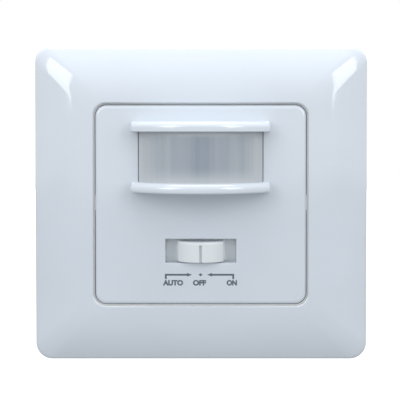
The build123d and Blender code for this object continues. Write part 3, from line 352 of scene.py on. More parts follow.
def face_lines(half, corner, holes, steps=8, longest=2.5):
    """Grid lines over a rounded rectangle in one direction: fine ones across the corners, and one
    on each side of every hole."""
    fixed = [-half, -half + corner, half - corner, half]
    fixed += [middle + side * reach for middle, reach in holes for side in (-1, 1)]
    fixed = np.unique(np.round(fixed, 6))
    runs = []
    for low, high in zip(fixed[:-1], fixed[1:]):
        in_corner = high <= -half + corner + 1e-6 or low >= half - corner - 1e-6
        count = steps if in_corner else max(1, round((high - low) / longest))
        runs.append(np.linspace(low, high, count + 1)[:-1])
    return np.concatenate(runs + [fixed[-1:]])


def pierced_sheet(half, corner, rise, holes, xs, zs):
    """A flat rounded rectangle with square holes, on grid lines. In each corner square a point at
    shares (u, v) moves by max(u, v) over the length of (u, v), which turns the square into a
    quarter circle."""
    x, z = np.meshgrid(xs, zs, indexing="ij")
    u = np.clip((np.abs(x) - (half[0] - corner)) / corner, 0, 1)
    v = np.clip((np.abs(z) - (half[1] - corner)) / corner, 0, 1)
    both = (u > 0) & (v > 0)
    pull = np.where(both, np.maximum(u, v) / np.where(both, np.hypot(u, v), 1), 1)
    x = np.where(both, np.sign(x) * (half[0] - corner + u * pull * corner), x)
    z = np.where(both, np.sign(z) * (half[1] - corner + v * pull * corner), z)
    points = np.stack([x, np.full(x.shape, rise), z], -1).reshape(-1, 3)
    faces = grid_faces(len(xs), len(zs))
    mid_x = (xs[:-1] + xs[1:])[:, None].repeat(len(zs) - 1, 1).ravel() / 2
    mid_z = (zs[:-1] + zs[1:])[None].repeat(len(xs) - 1, 0).ravel() / 2
    keep = np.ones(len(faces), bool)
    for middle, reach in holes:
        keep &= (np.abs(mid_x - middle[0]) >= reach[0]) | (np.abs(mid_z - middle[1]) >= reach[1])
    return points, faces[keep].tolist()


def outline_of(xs, zs):
    """The points of grid lines round their outer side, in order, as flat places."""
    right = np.stack([np.full(len(zs), xs[-1]), zs], 1)[:-1]
    top = np.stack([xs[::-1], np.full(len(xs), zs[-1])], 1)[:-1]
    left = np.stack([np.full(len(zs), xs[0]), zs[::-1]], 1)[:-1]
    bottom = np.stack([xs, np.full(len(xs), zs[0])], 1)[:-1]
    return np.concatenate([right, top, left, bottom])


def stacked(rings, rises):
    """Closed rings of flat places, ring i lifted to rise i, joined by quads."""
    lift = np.broadcast_to(np.asarray(rises, float)[:, None], rings.shape[:2])
    points = np.stack([rings[..., 0], lift, rings[..., 1]], -1)
    return points.reshape(-1, 3), grid_faces(*rings.shape[:2], False, True).tolist()


def edge_ring(xs, zs, half, corner, offsets, rises):
    """Rings from the outer side of a pierced sheet: each of its points moves out by an offset
    along the outline's direction there."""
    flat = outline_of(xs, zs)
    inner = np.array(half) - corner
    u, v = np.clip((np.abs(flat) - inner) / corner, 0, 1).T
    way = np.sign(flat) * np.stack([u, v], 1) / np.hypot(u, v)[:, None]
    place = np.clip(flat, -inner, inner)
    return stacked(place[None] + way[None] * (corner + np.asarray(offsets)[:, None, None]), rises)


def hole_ring(xs, zs, middle, outer, insets, rises):
    """The walls of a square hole in a pierced sheet: the points on its rim are drawn in towards
    its middle by each inset."""
    inside_x = xs[np.abs(xs - middle[0]) <= outer[0] + 1e-6]
    inside_z = zs[np.abs(zs - middle[1]) <= outer[1] + 1e-6]
    flat = outline_of(inside_x, inside_z) - middle
    share = (np.asarray(outer)[None] - np.asarray(insets)[:, None]) / np.asarray(outer)[None]
    return stacked(flat[None] * share[:, None] + middle, rises)


def bowed_slab(
    half, radius, tip, foot, low, high, rounding, low_rounding, steps=5, stations=None, groove=None,
):
    """A slab with a bowed front, standing out from the wall. Its path runs up one end, along an
    arc of the given radius and down the other end. At every place on the path the section is a
    half round as tall as the slab, joined to a spine at the foot, and its roundings shrink to a
    third round the ends. A groove, given as (half width, depth, top), sinks the path's points
    below its top."""
    hair, end_share, side_count = 0.03, 0.35, 4
    flank, groove_end, spine_margin = 0.06, 0.05, 0.1
    centre, reach = tip - radius, radius - rounding
    arc_end = np.arcsin((half - rounding) / reach)
    turn = np.linspace(-arc_end, arc_end, 65) if stations is None else stations(arc_end)
    arc_way = np.stack([np.sin(turn), np.cos(turn)], 1)
    arc = np.array([0, centre]) + radius * arc_way
    swing = np.linspace(arc_end, np.pi / 2, 8)[1:]
    swing_way = np.stack([np.sin(swing), np.cos(swing)], 1)
    hub = np.array([reach * np.sin(arc_end), centre + reach * np.cos(arc_end)])
    bend = hub + rounding * swing_way
    down = np.linspace(bend[-1, 1] - 0.05, foot, side_count)
    right = np.concatenate([bend, np.stack([np.full(side_count, half), down], 1)])
    right_way = np.concatenate([swing_way, np.tile([1.0, 0.0], (side_count, 1))])
    mirror = np.array([-1.0, 1.0])
    path = np.concatenate([(right * mirror)[::-1], arc, right])
    way = np.concatenate([(right_way * mirror)[::-1], arc_way, right_way])
    crisp = np.linspace(1, end_share, len(swing))
    crisp = np.concatenate([crisp, np.full(side_count, end_share)])
    share = np.concatenate([crisp[::-1], np.ones(len(arc)), crisp])
    turn = np.linspace(0, np.pi / 2, steps + 1)
    drawn_in = [low_rounding * (1 - np.sin(turn)), rounding * (1 - np.cos(turn))]
    inset = np.concatenate([[rounding + hair], *drawn_in, [rounding + hair]])
    lower = np.concatenate([[low], low + low_rounding * (1 - np.cos(turn))])
    level = np.concatenate([lower, high - rounding + rounding * np.sin(turn), [high]])
    if groove is not None:
        width, depth, groove_top = groove
        level = np.insert(level, len(lower), [groove_top - groove_end, groove_top + groove_end])
        inset = np.insert(inset, len(lower), [0.0, 0.0])
    flat = path[None] - way[None] * (inset[:, None] * share)[..., None]
    if groove is not None:
        across = np.clip((width - np.abs(path[:, 0])) / flank, 0, 1)
        flat[..., 1] -= depth * across[None] * (level <= groove_top)[:, None]
    spine = path[:, 0] * (half - rounding - spine_margin) / half
    spine = np.stack([spine, np.full(len(path), foot)], 1)[None]
    flat = np.concatenate([spine, flat, spine])
    level = np.concatenate([[low], level, [high]])
    flat[..., 1] = np.maximum(flat[..., 1], foot)
    heights = np.broadcast_to(level[:, None], flat.shape[:2])
    points = np.concatenate([flat, heights[..., None]], -1)
    rows, columns = points.shape[:2]
    number = np.arange(rows * columns).reshape(rows, columns)
    rim = [number[0], number[1:, -1], number[-1, -2::-1], number[-2:0:-1, 0]]
    faces = grid_faces(rows, columns).tolist() + [np.concatenate(rim).tolist()]
    return points.reshape(-1, 3), faces


def round_bar(radius, low, high, edge, middle, low_edge=None):
    """A round bar with softened ends."""
    return soft_bar((radius, radius), radius - 0.01, low, high, edge, middle, low_edge)


sheet_margin = 0.05
outer = panel_edge + sheet_margin
inner_half, inner_corner = panel_half - outer, panel_corner - outer
face_holes = [(window_middle, window_half + hole_edge), (slot_middle, slot_half + hole_edge)]
xs, zs = (
    face_lines(inner_half[axis], inner_corner, [(m[axis], r[axis]) for m, r in face_holes])
    for axis in (0, 1)
)
turn = np.linspace(0, np.pi / 2, 9)[1:]
wall = outer - panel_wall
edge_offsets = np.concatenate([
    [0, sheet_margin], sheet_margin + panel_edge * np.sin(turn),
    [outer, outer, outer - panel_foot_edge, wall + panel_foot_edge, wall, wall, wall],
])
edge_rises = np.concatenate([
    [panel_face, panel_face], panel_face - panel_edge * (1 - np.cos(turn)),
    [panel_face - panel_edge - ring_gap, panel_skirt + panel_foot_edge, panel_skirt],
    [panel_skirt, panel_skirt + panel_foot_edge, panel_back - ring_gap, panel_back],
])
panel_parts = [
    pierced_sheet(inner_half, inner_corner, panel_face, face_holes, xs, zs),
    edge_ring(xs, zs, inner_half, inner_corner, edge_offsets, edge_rises),
    pierced_sheet(inner_half, inner_corner, panel_back, face_holes, xs, zs),
    edge_ring(xs, zs, inner_half, inner_corner, [0, wall], [panel_back, panel_back]),
]
for (middle, rim), floor in zip(face_holes, (panel_back, slot_floor)):
    insets = np.concatenate([[0], hole_edge * np.sin(turn), [hole_edge, hole_edge]])
    rises = panel_face - hole_edge * (1 - np.cos(turn))
    rises = np.concatenate([[panel_face], rises, [panel_face - hole_edge_depth, floor]])
    panel_parts.append(hole_ring(xs, zs, middle, rim, insets, rises))
    back_rises = [floor, floor, min(panel_back, floor + 1)]
    panel_parts.append(hole_ring(xs, zs, middle, rim, [hole_edge, 0, 0], back_rises))
lip_radius = (lip_half**2 + lip_bow**2) / (2 * lip_bow)
for (low, high), low_rounding in ((upper_lip, 0.25), (lower_lip, 0.5)):
    panel_parts.append(bowed_slab(
        lip_half, lip_radius, lip_tip, lip_foot, low, high, lip_rounding, low_rounding, steps=12,
    ))
for side in (-1, 1):
    panel_parts.append(soft_bar(middle=(0, slot_middle[1] + side * rib_offset), **guide_rib))
    panel_parts.append(round_bar(middle=(side * board_post_x, 0), **board_post))
    for level in (-1, 1):
        panel_parts.append(round_bar(middle=(side * boss_x, level * boss_z), **screw_boss))
        stake = (side * stake_x, window_middle[1] + level * stake_offset)
        panel_parts.append(round_bar(middle=stake, **stake_head))
        panel_parts.append(round_bar(middle=stake, **stake_stem))
panel_finish = moulded("panel_moulding", white_plastic, **white_gloss)
make_piece("face_panel", panel_parts, panel_finish, "root", ["front_panel"])


# Printed marks under the slot: two arrow brackets, a small mark between them and the words
# AUTO, OFF and ON. They are pad-printed in dark grey ink, a hair proud of the panel.
ink_rise = 0.012
line_middle, line_width = -18.66, 0.5
arrow_length, arrow_half, leg_drop = 1.35, 0.5, 1.15
left_bracket, right_bracket = (-9.55, -2.3), (8.9, 1.65)
mark_width, mark_middle, mark_half = (-0.62, 0.5), -0.05, 0.42
words = {"AUTO": (-10.1, -4.7), "OFF": (-2.1, 1.45), "ON": (6.9, 9.65)}
word_foot, word_height = -21.57, 1.52


def ink_sheet(corners):
    """A flat closed print: its outline on the panel's face and the same outline one ink layer
    higher, joined round the side."""
    corners = np.asarray(corners, float)
    count = len(corners)
    low = np.stack([corners[:, 0], np.full(count, panel_face), corners[:, 1]], 1)
    high = low + (0, ink_rise, 0)
    sides = [[i, (i + 1) % count, count + (i + 1) % count, count + i] for i in range(count)]
    return np.concatenate([low, high]), sides + [list(range(count)), list(range(count, 2 * count))]


def bracket(outer, tip):
    """A bracket's outline: a short leg down at its outer end, a line inwards and an arrow head."""
    way = np.sign(tip - outer)
    half = line_width / 2
    neck, leg = tip - way * arrow_length, outer + way * line_width
    shape = [
        (outer, half), (neck, half), (neck, arrow_half), (tip, 0), (neck, -arrow_half),
        (neck, -half), (leg, -half), (leg, -leg_drop), (outer, -leg_drop),
    ]
    return ink_sheet(np.array(shape) + (0, line_middle))


ink, tree, shader, place = blank_material("printed_ink")
patch = spread(tree, noise(tree, place, 2600, 4.0), 0, 1)
dark_grey = tint(tree, patch, (0.085, 0.105, 0.14), (0.12, 0.145, 0.185))
paint(tree, shader, dark_grey, spread(tree, noise(tree, place, 900, 2.0), 0.42, 0.6))
diamond = [
    (mark_width[0], line_middle), (mark_middle, line_middle + mark_half),
    (mark_width[1], line_middle), (mark_middle, line_middle - mark_half),
]
marks = [bracket(*left_bracket), bracket(*right_bracket), ink_sheet(diamond)]
make_piece("switch_marks", marks, ink, "root", sharp=20)
for word, (low_x, high_x) in words.items():
    letters = bpy.data.curves.new("letters", "FONT")
    letters.body = word
    letters.size = 1.0
    letters.offset = 0.06
    writing = bpy.data.objects.new("letters", letters)
    bpy.context.scene.collection.objects.link(writing)
    bpy.context.view_layer.update()
    flattened = writing.evaluated_get(bpy.context.evaluated_depsgraph_get())
    shape = bpy.data.meshes.new_from_object(flattened)
    bpy.data.objects.remove(writing)
    flat = np.zeros(len(shape.vertices) * 3)
    shape.vertices.foreach_get("co", flat)
    flat = flat.reshape(-1, 3)[:, :2]
    share = (flat - flat.min(0)) / (flat.max(0) - flat.min(0))
    x = low_x + share[:, 0] * (high_x - low_x)
    z = word_foot + share[:, 1] * word_height
    front = np.stack([x, np.full(len(x), panel_face + ink_rise), z], 1)
    back = front - (0, ink_rise, 0)
    faces = [list(polygon.vertices) for polygon in shape.polygons]
    edges = dict.fromkeys(pair for face in faces for pair in zip(face, face[1:] + face[:1]))
    rim = [(a, b) for a, b in edges if (b, a) not in edges]
    count = len(front)
    sides = [[b, a, a + count, b + count] for a, b in rim]
    under = [[c + count for c in reversed(face)] for face in faces]
    prints = [(np.concatenate([front, back]), faces + under + sides)]
    make_piece(f"word_{word.lower()}", prints, ink, "root", sharp=20)


# Lens: a milky polyethylene sheet, bowed forward between the lips, with a foot down each side.
# It is moulded with upright Fresnel strips, each a shallow bow of its own.
lens_half, lens_tip, lens_sheet, lens_foot = 16.5, 18.8, 0.7, 7.0
lens_bow = lens_tip - panel_face
lens_radius = (lens_half**2 + lens_bow**2) / (2 * lens_bow)
lens_centre = lens_tip - lens_radius
lens_levels = np.array([6.15, 6.2, 8.0, 12.8, 17.6, 19.4, 19.45])
strip_count, strip_depth, strip_fullness, strip_pitch = 26, 0.035, 0.7, 1.27
foot_bar = dict(half=(1.2, 7.35), corner=0.2, low=6.2, high=lens_foot, edge=0.08)
foot_place = 16.9
# Tones across the lens by distance from its middle: the darkest stops are painted shade for the
# dark detector behind the sheet, and the tone is lighter towards the sides.
milk_and_shade_tones = [
    (0.13, (0.285, 0.33, 0.385)), (0.17, (0.335, 0.375, 0.425)), (0.42, (0.335, 0.375, 0.425)),
    (0.5, (0.37, 0.413, 0.453)), (0.67, (0.37, 0.413, 0.453)), (0.97, (0.535, 0.56, 0.585)),
]
# Painted light along the lens's top and bottom: a lighter tone that fills the shadow under the
# upper lip and stands in for light bounced up from the lower lip.
painted_light_tone = (0.55, 0.575, 0.60)
painted_light_fades = [(0.0105, 0.0046), (0.0176, 0.0196)]

turn = np.linspace(-1, 1, strip_count * 8 + 1) * np.arcsin(lens_half / lens_radius)
strip = (turn / turn[-1] + 1) / 2 * strip_count
outer = lens_radius + strip_depth * (np.abs(np.sin(np.pi * strip)) ** strip_fullness - 1)
front = np.stack([outer * np.sin(turn), lens_centre + outer * np.cos(turn)], 1)
inner, inner_half = lens_radius - lens_sheet, lens_half - lens_sheet
back_turn = turn[::-1] / turn[-1] * np.arcsin(inner_half / inner)
back = np.stack([inner * np.sin(back_turn), lens_centre + inner * np.cos(back_turn)], 1)
lens_line = np.concatenate([
    front, [[lens_half, lens_foot], [inner_half, lens_foot]],
    back, [[-inner_half, lens_foot], [-lens_half, lens_foot]],
])
rows, columns = len(lens_levels), len(lens_line)
lens_points = np.concatenate([
    np.broadcast_to(lens_line[None], (rows, columns, 2)),
    np.broadcast_to(lens_levels[:, None, None], (rows, columns, 1)),
], -1)
pairs = np.arange(len(turn) - 1)
caps = []
for base in (0, (rows - 1) * columns):
    top, low = base + pairs, base + columns - 3 - pairs
    caps += np.stack([top, top + 1, low - 1, low], 1).tolist()
    caps.append([base + len(turn) + step for step in (-1, 0, 1, 2)])
    caps.append([base, base + columns - 1, base + columns - 2, base + columns - 3])
lens_walls = grid_faces(rows, columns, False, True).tolist()
lens_parts = [(lens_points.reshape(-1, 3), lens_walls + caps)]
for side in (-1, 1):
    lens_parts.append(soft_bar(middle=(side * foot_place, window_middle[1]), **foot_bar))

# The strips differ a little. The tone rises from a darker middle band, which is painted shade for
# the dark detector behind the sheet, to lighter sides.
# A lighter tone is painted in along the top, where it undoes the shadow under the upper lip, and
# along the bottom, where it stands in for light bounced up from the lower lip.
milk, tree, shader, place = blank_material("milky_sheet")
axes = split(tree, place)
chance = tree.nodes.new("ShaderNodeTexWhiteNoise")
chance.noise_dimensions = "1D"
feed(tree, chance.inputs["W"], work_out(tree, "SNAP", axes["X"], strip_pitch * 0.001))
outward = work_out(tree, "DIVIDE", work_out(tree, "ABSOLUTE", axes["X"]), lens_half * 0.001)
zones = tree.nodes.new("ShaderNodeValToRGB")
stops = zones.color_ramp.elements
stops[0].position, stops[1].position = milk_and_shade_tones[0][0], milk_and_shade_tones[-1][0]
for position, _ in milk_and_shade_tones[1:-1]:
    stops.new(position)
for stop, (_, tone) in zip(stops, milk_and_shade_tones):
    stop.color = (*tone, 1)
feed(tree, zones.inputs["Fac"], outward)
varied = tint(tree, chance.outputs["Value"], (0.95, 0.955, 0.96), (1.05, 1.045, 1.04))
strips = tint(tree, 1.0, zones.outputs["Color"], varied, "MULTIPLY")
# Painted light: a lighter tone fading in along the top and the bottom of the lens.
painted_lights = []
for start, end in painted_light_fades:
    along = tree.nodes.new("ShaderNodeMapRange")
    along.interpolation_type = "SMOOTHSTEP"
    along.inputs["From Min"].default_value = start
    along.inputs["From Max"].default_value = end
    feed(tree, along.inputs["Value"], axes["Z"])
    painted_lights.append(along.outputs["Result"])
milky = tint(tree, work_out(tree, "MAXIMUM", *painted_lights), strips, painted_light_tone)
paint(tree, shader, milky, spread(tree, noise(tree, place, 500, 3.0), 0.34, 0.46))
relief(tree, shader, noise(tree, place, 1100, 3.0, (1, 1, 0.2)), 0.5, 5e-6)
shader.inputs["Subsurface Weight"].default_value = 0.25
shader.inputs["Subsurface Radius"].default_value = (1.0, 1.0, 1.0)
shader.inputs["Subsurface Scale"].default_value = 0.0008
make_piece("fresnel_lens", lens_parts, milk, "root", ["pir_lens"], sharp=60)


# Slide knob: a white cap with a bowed front and a finger groove down its middle, a lower step,
# the shutter that closes the slot, and the two prongs that hold the switch's lever.
knob_half, knob_tip, knob_ends = 6.1, 11.3, 8.5
knob_radius = (knob_half**2 + (knob_tip - knob_ends)**2) / (2 * (knob_tip - knob_ends))
knob_low, knob_high = slot_middle[1] - 2.95, slot_middle[1] + 2.55
knob_edge, knob_low_edge = 0.6, 0.3
groove_half, groove_depth, groove_top = 0.345, 0.8, knob_high - 0.9
shutter_back, shutter_front = 4.7, 5.75
knob_step = dict(half=(6.65, 3.0), corner=0.3, low=5.6, high=6.4, edge=0.25)
shutter = dict(half=(12.025, 3.775), corner=0.3, low=shutter_back, high=5.7, edge=0.15)
prong = dict(half=(0.6, 1.3), corner=0.15, low=1.35, high=4.8, edge=0.1)
prong_x = 1.72
knob_white = (0.735, 0.775, 0.80)


def knob_stations(end):
    """Places along the knob's arc: close together at the groove's walls and even elsewhere."""
    wall = (groove_half - 0.02) / knob_radius
    fine = np.array([-0.012, -0.0055, 0.0015]) + wall
    floor = np.linspace(-wall + 0.01, wall - 0.01, 5)
    sides = np.linspace(wall + 0.02, end, 26)
    return np.unique(np.round(np.concatenate([-sides, -fine, floor, fine, sides]), 7))


knob_parts = [
    bowed_slab(
        knob_half, knob_radius, knob_tip, shutter_front, knob_low, knob_high, knob_edge,
        knob_low_edge, 6, knob_stations, (groove_half, groove_depth, groove_top),
    ),
    soft_bar(middle=slot_middle, **knob_step),
    soft_bar(middle=slot_middle, **shutter),
]
for side in (-1, 1):
    knob_parts.append(soft_bar(middle=(side * prong_x, slot_middle[1]), **prong))
knob_finish = moulded("knob_moulding", knob_white, 0.2)
make_piece("finger_knob", knob_parts, knob_finish, "slider", ["slide_knob"])


# Ring behind the lens: black moulded plastic that stops stray light, staked to the panel.
# It keeps its CAD mesh, as every piece below does, and gets a finish.
def dress(material, *names):
    """Gives CAD nodes a finish."""
    for name in names:
        slots = node[name].data.materials
        for index in range(len(slots)):
            slots[index] = material


dress(moulded("ring_moulding", (0.035, 0.036, 0.038), 0.45), "lens_holder")


# Infrared detector: a nickel-plated can over a header with gold-flashed leads, and a dark
# silicon filter that only lets body heat through.
def metal(
    name, colour, roughness, stretch=(1, 1, 30), grain=900, grain_depth=1.5e-6, shift=0.12,
):
    """Rolled or turned metal: fine draw lines along one direction, with the tone and the finish
    following them."""
    material, tree, shader, place = blank_material(name)
    lines = noise(tree, place, grain, 4.0, stretch)
    darker = tuple(c * (1 - shift) for c in colour)
    drawn = tint(tree, spread(tree, lines, 0, 1), colour, darker)
    paint(tree, shader, drawn, spread(tree, lines, roughness * 0.8, roughness * 1.25))
    relief(tree, shader, lines, 0.5, grain_depth)
    shader.inputs["Metallic"].default_value = 1.0
    return material


dress(metal("can_nickel", (0.62, 0.60, 0.56), 0.24, (1, 12, 1)), "pir_sensor_can")
silicon, tree, shader, place = blank_material("silicon_filter")
patch = spread(tree, noise(tree, place, 700, 2.0), 0, 1)
dark_film = tint(tree, patch, (0.03, 0.025, 0.04), (0.045, 0.035, 0.06))
paint(tree, shader, dark_film, spread(tree, noise(tree, place, 1500, 3.0), 0.05, 0.12))
dress(silicon, "pir_filter_window")
dress(metal("header_leads", (0.72, 0.60, 0.38), 0.3, (1, 8, 1)), "pir_base")


# Light sensor: a ceramic disc with a clear-coated zigzag of light-dependent film.
# Its two leads go down through the sensor board.
cell, tree, shader, place = blank_material("photocell_film")
tracks = tree.nodes.new("ShaderNodeTexWave")
tracks.inputs["Scale"].default_value = 260
tracks.inputs["Distortion"].default_value = 0.6
feed(tree, tracks.inputs["Vector"], place)
zigzag = tint(tree, tracks.outputs["Fac"], (0.55, 0.25, 0.12), (0.72, 0.62, 0.5))
paint(tree, shader, zigzag, spread(tree, noise(tree, place, 900, 2.0), 0.12, 0.22))
shader.inputs["Coat Weight"].default_value = 0.6
dress(cell, "light_sensor")


# Sensor board and power board: glass-epoxy laminate under green solder mask, with copper tracks
# that show through as slightly raised lighter lines. Bright steel screws hold them, and more of
# the same hold the panel and the housing.
def laminate(name, track_scale):
    """Green solder mask over tracks: cell borders of a square-metric Voronoi pattern give lines
    that run along and across the board."""
    material, tree, shader, place = blank_material(name)
    tracks = tree.nodes.new("ShaderNodeTexVoronoi")
    tracks.distance = "CHEBYCHEV"
    tracks.feature = "F1"
    tracks.inputs["Scale"].default_value = track_scale
    feed(tree, tracks.inputs["Vector"], place)
    band = spread(tree, tracks.outputs["Distance"], 0, 1, 0.42, 0.48)
    mask = tint(tree, band, (0.02, 0.17, 0.06), (0.05, 0.26, 0.09))
    paint(tree, shader, mask, spread(tree, noise(tree, place, 700, 3.0), 0.22, 0.36))
    relief(tree, shader, band, 0.6, 3e-5)
    return material


dress(laminate("sensor_laminate", 330), "sensor_board")
dress(laminate("power_laminate", 190), "power_board")
bright_screw = metal("bright_screw", (0.66, 0.66, 0.65), 0.28, (1, 14, 1))
dress(bright_screw, "board_screws", "power_board_screws", "housing_screws", "yoke_screws")


# Control chip: black filled epoxy with a dull moulded skin.
# Its two rows of feet stand on the back of the sensor board.
dress(moulded("chip_epoxy", (0.022, 0.022, 0.024), 0.55, 2600, 4e-6, 0.2), "control_chip")


# Slide switch: a tinned steel shell folded over a moulded floor, fixed contacts, and a slider
# with a spring contact under it.
dress(metal("shell_tin", (0.63, 0.63, 0.60), 0.3, (12, 1, 1)), "switch_shell")
dress(moulded("switch_floor_moulding", (0.03, 0.03, 0.032), 0.5), "switch_base")
contact_silver = metal("contact_silver", (0.72, 0.58, 0.44), 0.26, (1, 8, 1))
dress(contact_silver, "switch_pins", "contact_bridge", "relay_contacts")
dress(moulded("slider_moulding", (0.06, 0.06, 0.065), 0.36), "switch_slider")


# Link between the boards: gold-flashed square pins in black moulded strips.
# The pins stand in the sensor board and plug into the power board's socket.
dress(moulded("strip_moulding", (0.026, 0.026, 0.028), 0.42), "link_header", "link_socket")
dress(metal("link_gold", (0.80, 0.62, 0.28), 0.22, (1, 8, 1)), "link_pins")


# Relay: a blue cap over a black base, iron parts with a dull passivated skin, and a coil wound
# with fine enamelled copper wire.
dress(moulded("relay_cap_moulding", (0.05, 0.13, 0.36), 0.34), "relay_cover")
dress(moulded("relay_base_moulding", (0.03, 0.03, 0.034), 0.48), "relay_base")
iron = metal("passivated_iron", (0.52, 0.51, 0.46), 0.38, (1, 10, 1))
dress(iron, "relay_frame", "relay_core", "relay_armature")
coil, tree, shader, place = blank_material("enamelled_winding")
turns = tree.nodes.new("ShaderNodeTexWave")
turns.bands_direction = "Y"
turns.inputs["Scale"].default_value = 1900
turns.inputs["Distortion"].default_value = 0.3
feed(tree, turns.inputs["Vector"], place)
wire = tint(tree, turns.outputs["Fac"], (0.42, 0.13, 0.045), (0.74, 0.32, 0.13))
paint(tree, shader, wire, spread(tree, noise(tree, place, 1100, 2.0), 0.2, 0.34))
relief(tree, shader, turns.outputs["Fac"], 0.7, 6e-5)
shader.inputs["Metallic"].default_value = 0.7
dress(coil, "relay_coil")


# Supply pieces: a moulded film capacitor, sleeved electrolytic cans, black glass-bead diodes, a
# dipped varistor disc and a round plug-in fuse.
dress(moulded("film_case_moulding", (0.62, 0.43, 0.06), 0.4), "film_capacitor")
dress(moulded("shrunk_sleeve", (0.03, 0.045, 0.10), 0.27, 900, 6e-6, 0.1), "storage_capacitors")
dress(moulded("diode_epoxy", (0.025, 0.025, 0.027), 0.4), "bridge_diodes")
dress(moulded("dipped_coating", (0.05, 0.16, 0.36), 0.3, 600, 2e-5, 0.15), "varistor")
dress(moulded("fuse_cap_moulding", (0.17, 0.075, 0.04), 0.32), "fuse")


# Wire terminals: a grey moulded block with plated brass cages and clamp screws.
# A cage's leg goes through the power board, and its screw is reached from behind.
dress(moulded("terminal_moulding", (0.36, 0.40, 0.42), 0.42), "terminal_block")
dress(metal("cage_brass_plate", (0.74, 0.62, 0.34), 0.3, (1, 1, 10)), "terminal_cages")
dress(metal("clamp_steel", (0.60, 0.60, 0.58), 0.3, (1, 14, 1)), "terminal_screws")


# Time and light controls: black trimmer bodies with ivory dials that a screwdriver turns
# through holes in the housing's back.
dress(moulded("trimmer_moulding", (0.03, 0.035, 0.05), 0.44), "trimmer_bodies")
dress(moulded("dial_moulding", (0.66, 0.62, 0.52), 0.4), "time_adjuster", "light_adjuster")


# Rear housing: a light grey flame-retardant box behind the wall, with a coarse eroded texture.
# Its flange is screwed to the yoke, and the panel is screwed to its columns.
dress(moulded("housing_moulding", (0.56, 0.58, 0.58), 0.5, 1100, 1.2e-5, 0.05), "rear_housing")


# Mounting yoke: zinc-plated steel strap. The plating has a faint crystal bloom.
# Two slots take the wall box's screws, and four bent tabs hold the frame's clips.
yoke, tree, shader, place = blank_material("zinc_plate")
bloom = tree.nodes.new("ShaderNodeTexVoronoi")
bloom.inputs["Scale"].default_value = 420
feed(tree, bloom.inputs["Vector"], place)
plating = tint(tree, bloom.outputs["Color"], (0.60, 0.61, 0.62), (0.70, 0.71, 0.73))
rolled = noise(tree, place, 1300, 4.0, (1, 1, 12))
paint(tree, shader, plating, spread(tree, rolled, 0.3, 0.46))
relief(tree, shader, rolled, 0.5, 2e-6)
shader.inputs["Metallic"].default_value = 1.0
dress(yoke, "mounting_yoke")


# Studio floor: matt paper a quarter of a metre below, which carries the object's shadow.
# The camera sees it lit up to white, and the object is lit by its grey alone.
floor_level, floor_reach = -0.25, 4
paper_tone = (0.395, 0.397, 0.398, 1)
floor_corners = [(-1, -1), (1, -1), (1, 1), (-1, 1)]
floor_corners = [(x * floor_reach, y * floor_reach, floor_level) for x, y in floor_corners]
floor_mesh = bpy.data.meshes.new("floor")
floor_mesh.from_pydata(floor_corners, [], [(0, 1, 2, 3)])
floor = bpy.data.objects.new("floor", floor_mesh)
bpy.context.scene.collection.objects.link(floor)
paper = bpy.data.materials.new("paper_floor")
paper.use_nodes = True
tree = paper.node_tree
shader = tree.nodes["Principled BSDF"]
shader.inputs["Base Color"].default_value = paper_tone
shader.inputs["Roughness"].default_value = 0.9
shader.inputs["Specular IOR Level"].default_value = 0.1
rays = tree.nodes.new("ShaderNodeLightPath")
glow = tree.nodes.new("ShaderNodeEmission")
feed(tree, glow.inputs["Strength"], rays.outputs["Is Camera Ray"])
both = tree.nodes.new("ShaderNodeAddShader")
feed(tree, both.inputs[0], shader.outputs[0])
feed(tree, both.inputs[1], glow.outputs[0])
feed(tree, tree.nodes["Material Output"].inputs["Surface"], both.outputs[0])
floor_mesh.materials.append(paper)


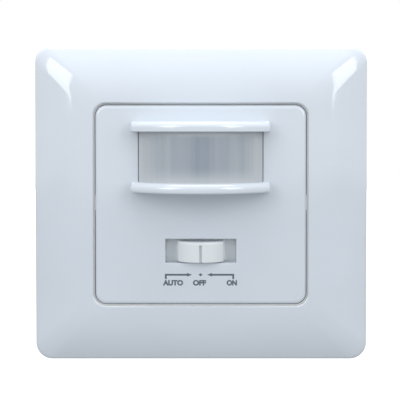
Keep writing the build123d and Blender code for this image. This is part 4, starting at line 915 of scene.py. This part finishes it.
# White room: the camera, gloss and clear plastic see plain white all round, and the object
# gets an even, slightly cool light from every side.
world = bpy.data.worlds.new("white_room")
bpy.context.scene.world = world
world.use_nodes = True
tree = world.node_tree
fill = tree.nodes["Background"]
fill.inputs["Color"].default_value = (0.94, 0.965, 0.98, 1)
fill.inputs["Strength"].default_value = 0.985
white = tree.nodes.new("ShaderNodeBackground")
white.inputs["Color"].default_value = (1, 1, 1, 1)
white.inputs["Strength"].default_value = 1.0
rays = tree.nodes.new("ShaderNodeLightPath").outputs
seen = work_out(tree, "MAXIMUM", rays["Is Camera Ray"], rays["Is Glossy Ray"])
pick = tree.nodes.new("ShaderNodeMixShader")
feed(tree, pick.inputs["Fac"], work_out(tree, "MAXIMUM", seen, rays["Is Transmission Ray"]))
feed(tree, pick.inputs[1], fill.outputs[0])
feed(tree, pick.inputs[2], white.outputs[0])
feed(tree, tree.nodes["World Output"].inputs["Surface"], pick.outputs[0])


# Lamps: a large softbox overhead, near the wall plane, and two upright ones to the left and
# right of the camera, turned in towards the plate and rolled by 22 degrees.
def softbox(name, place, aim, width, height, power, roll=0):
    """A rectangular lamp at a place, turned to face a point and then rolled about its own axis."""
    lamp = bpy.data.lights.new(name, "AREA")
    lamp.shape = "RECTANGLE"
    lamp.size, lamp.size_y = width, height
    lamp.energy = power
    holder = bpy.data.objects.new(name, lamp)
    holder.location = place
    turned = (Vector(aim) - Vector(place)).to_track_quat("-Z", "Y").to_euler()
    holder.rotation_euler = turned
    holder.rotation_euler.rotate_axis("Z", radians(roll))
    holder.visible_camera = False
    bpy.context.scene.collection.objects.link(holder)


softbox("overhead", (0, -0.04, 0.62), (0, -0.01, 0), width=0.5, height=0.16, power=2.1)
for name, side in (("left_window", -1), ("right_window", 1)):
    place, aim = (side * 0.378, -0.474, 0.264), (side * -0.061, -0.065, 0.264)
    softbox(name, place, aim, width=0.256, height=0.375, power=0.9, roll=side * 22)


# Camera: nearly square on to the plate and a little above its middle, 26 cm from the wall. It
# leans down by little more than a degree, and a shift of the picture does the rest.
camera = bpy.data.objects.new("camera", bpy.data.cameras.new("camera"))
bpy.context.scene.collection.objects.link(camera)
camera.location = (0.005, -0.260, 0.020)
camera.rotation_euler = (radians(90 - 1.359), 0, 0)
camera.data.lens = 85.1
camera.data.sensor_width = 36
camera.data.shift_x = -0.0488
camera.data.shift_y = -0.120
camera.data.clip_start = 0.01
bpy.context.scene.camera = camera
bpy.context.scene.view_settings.view_transform = "Standard"
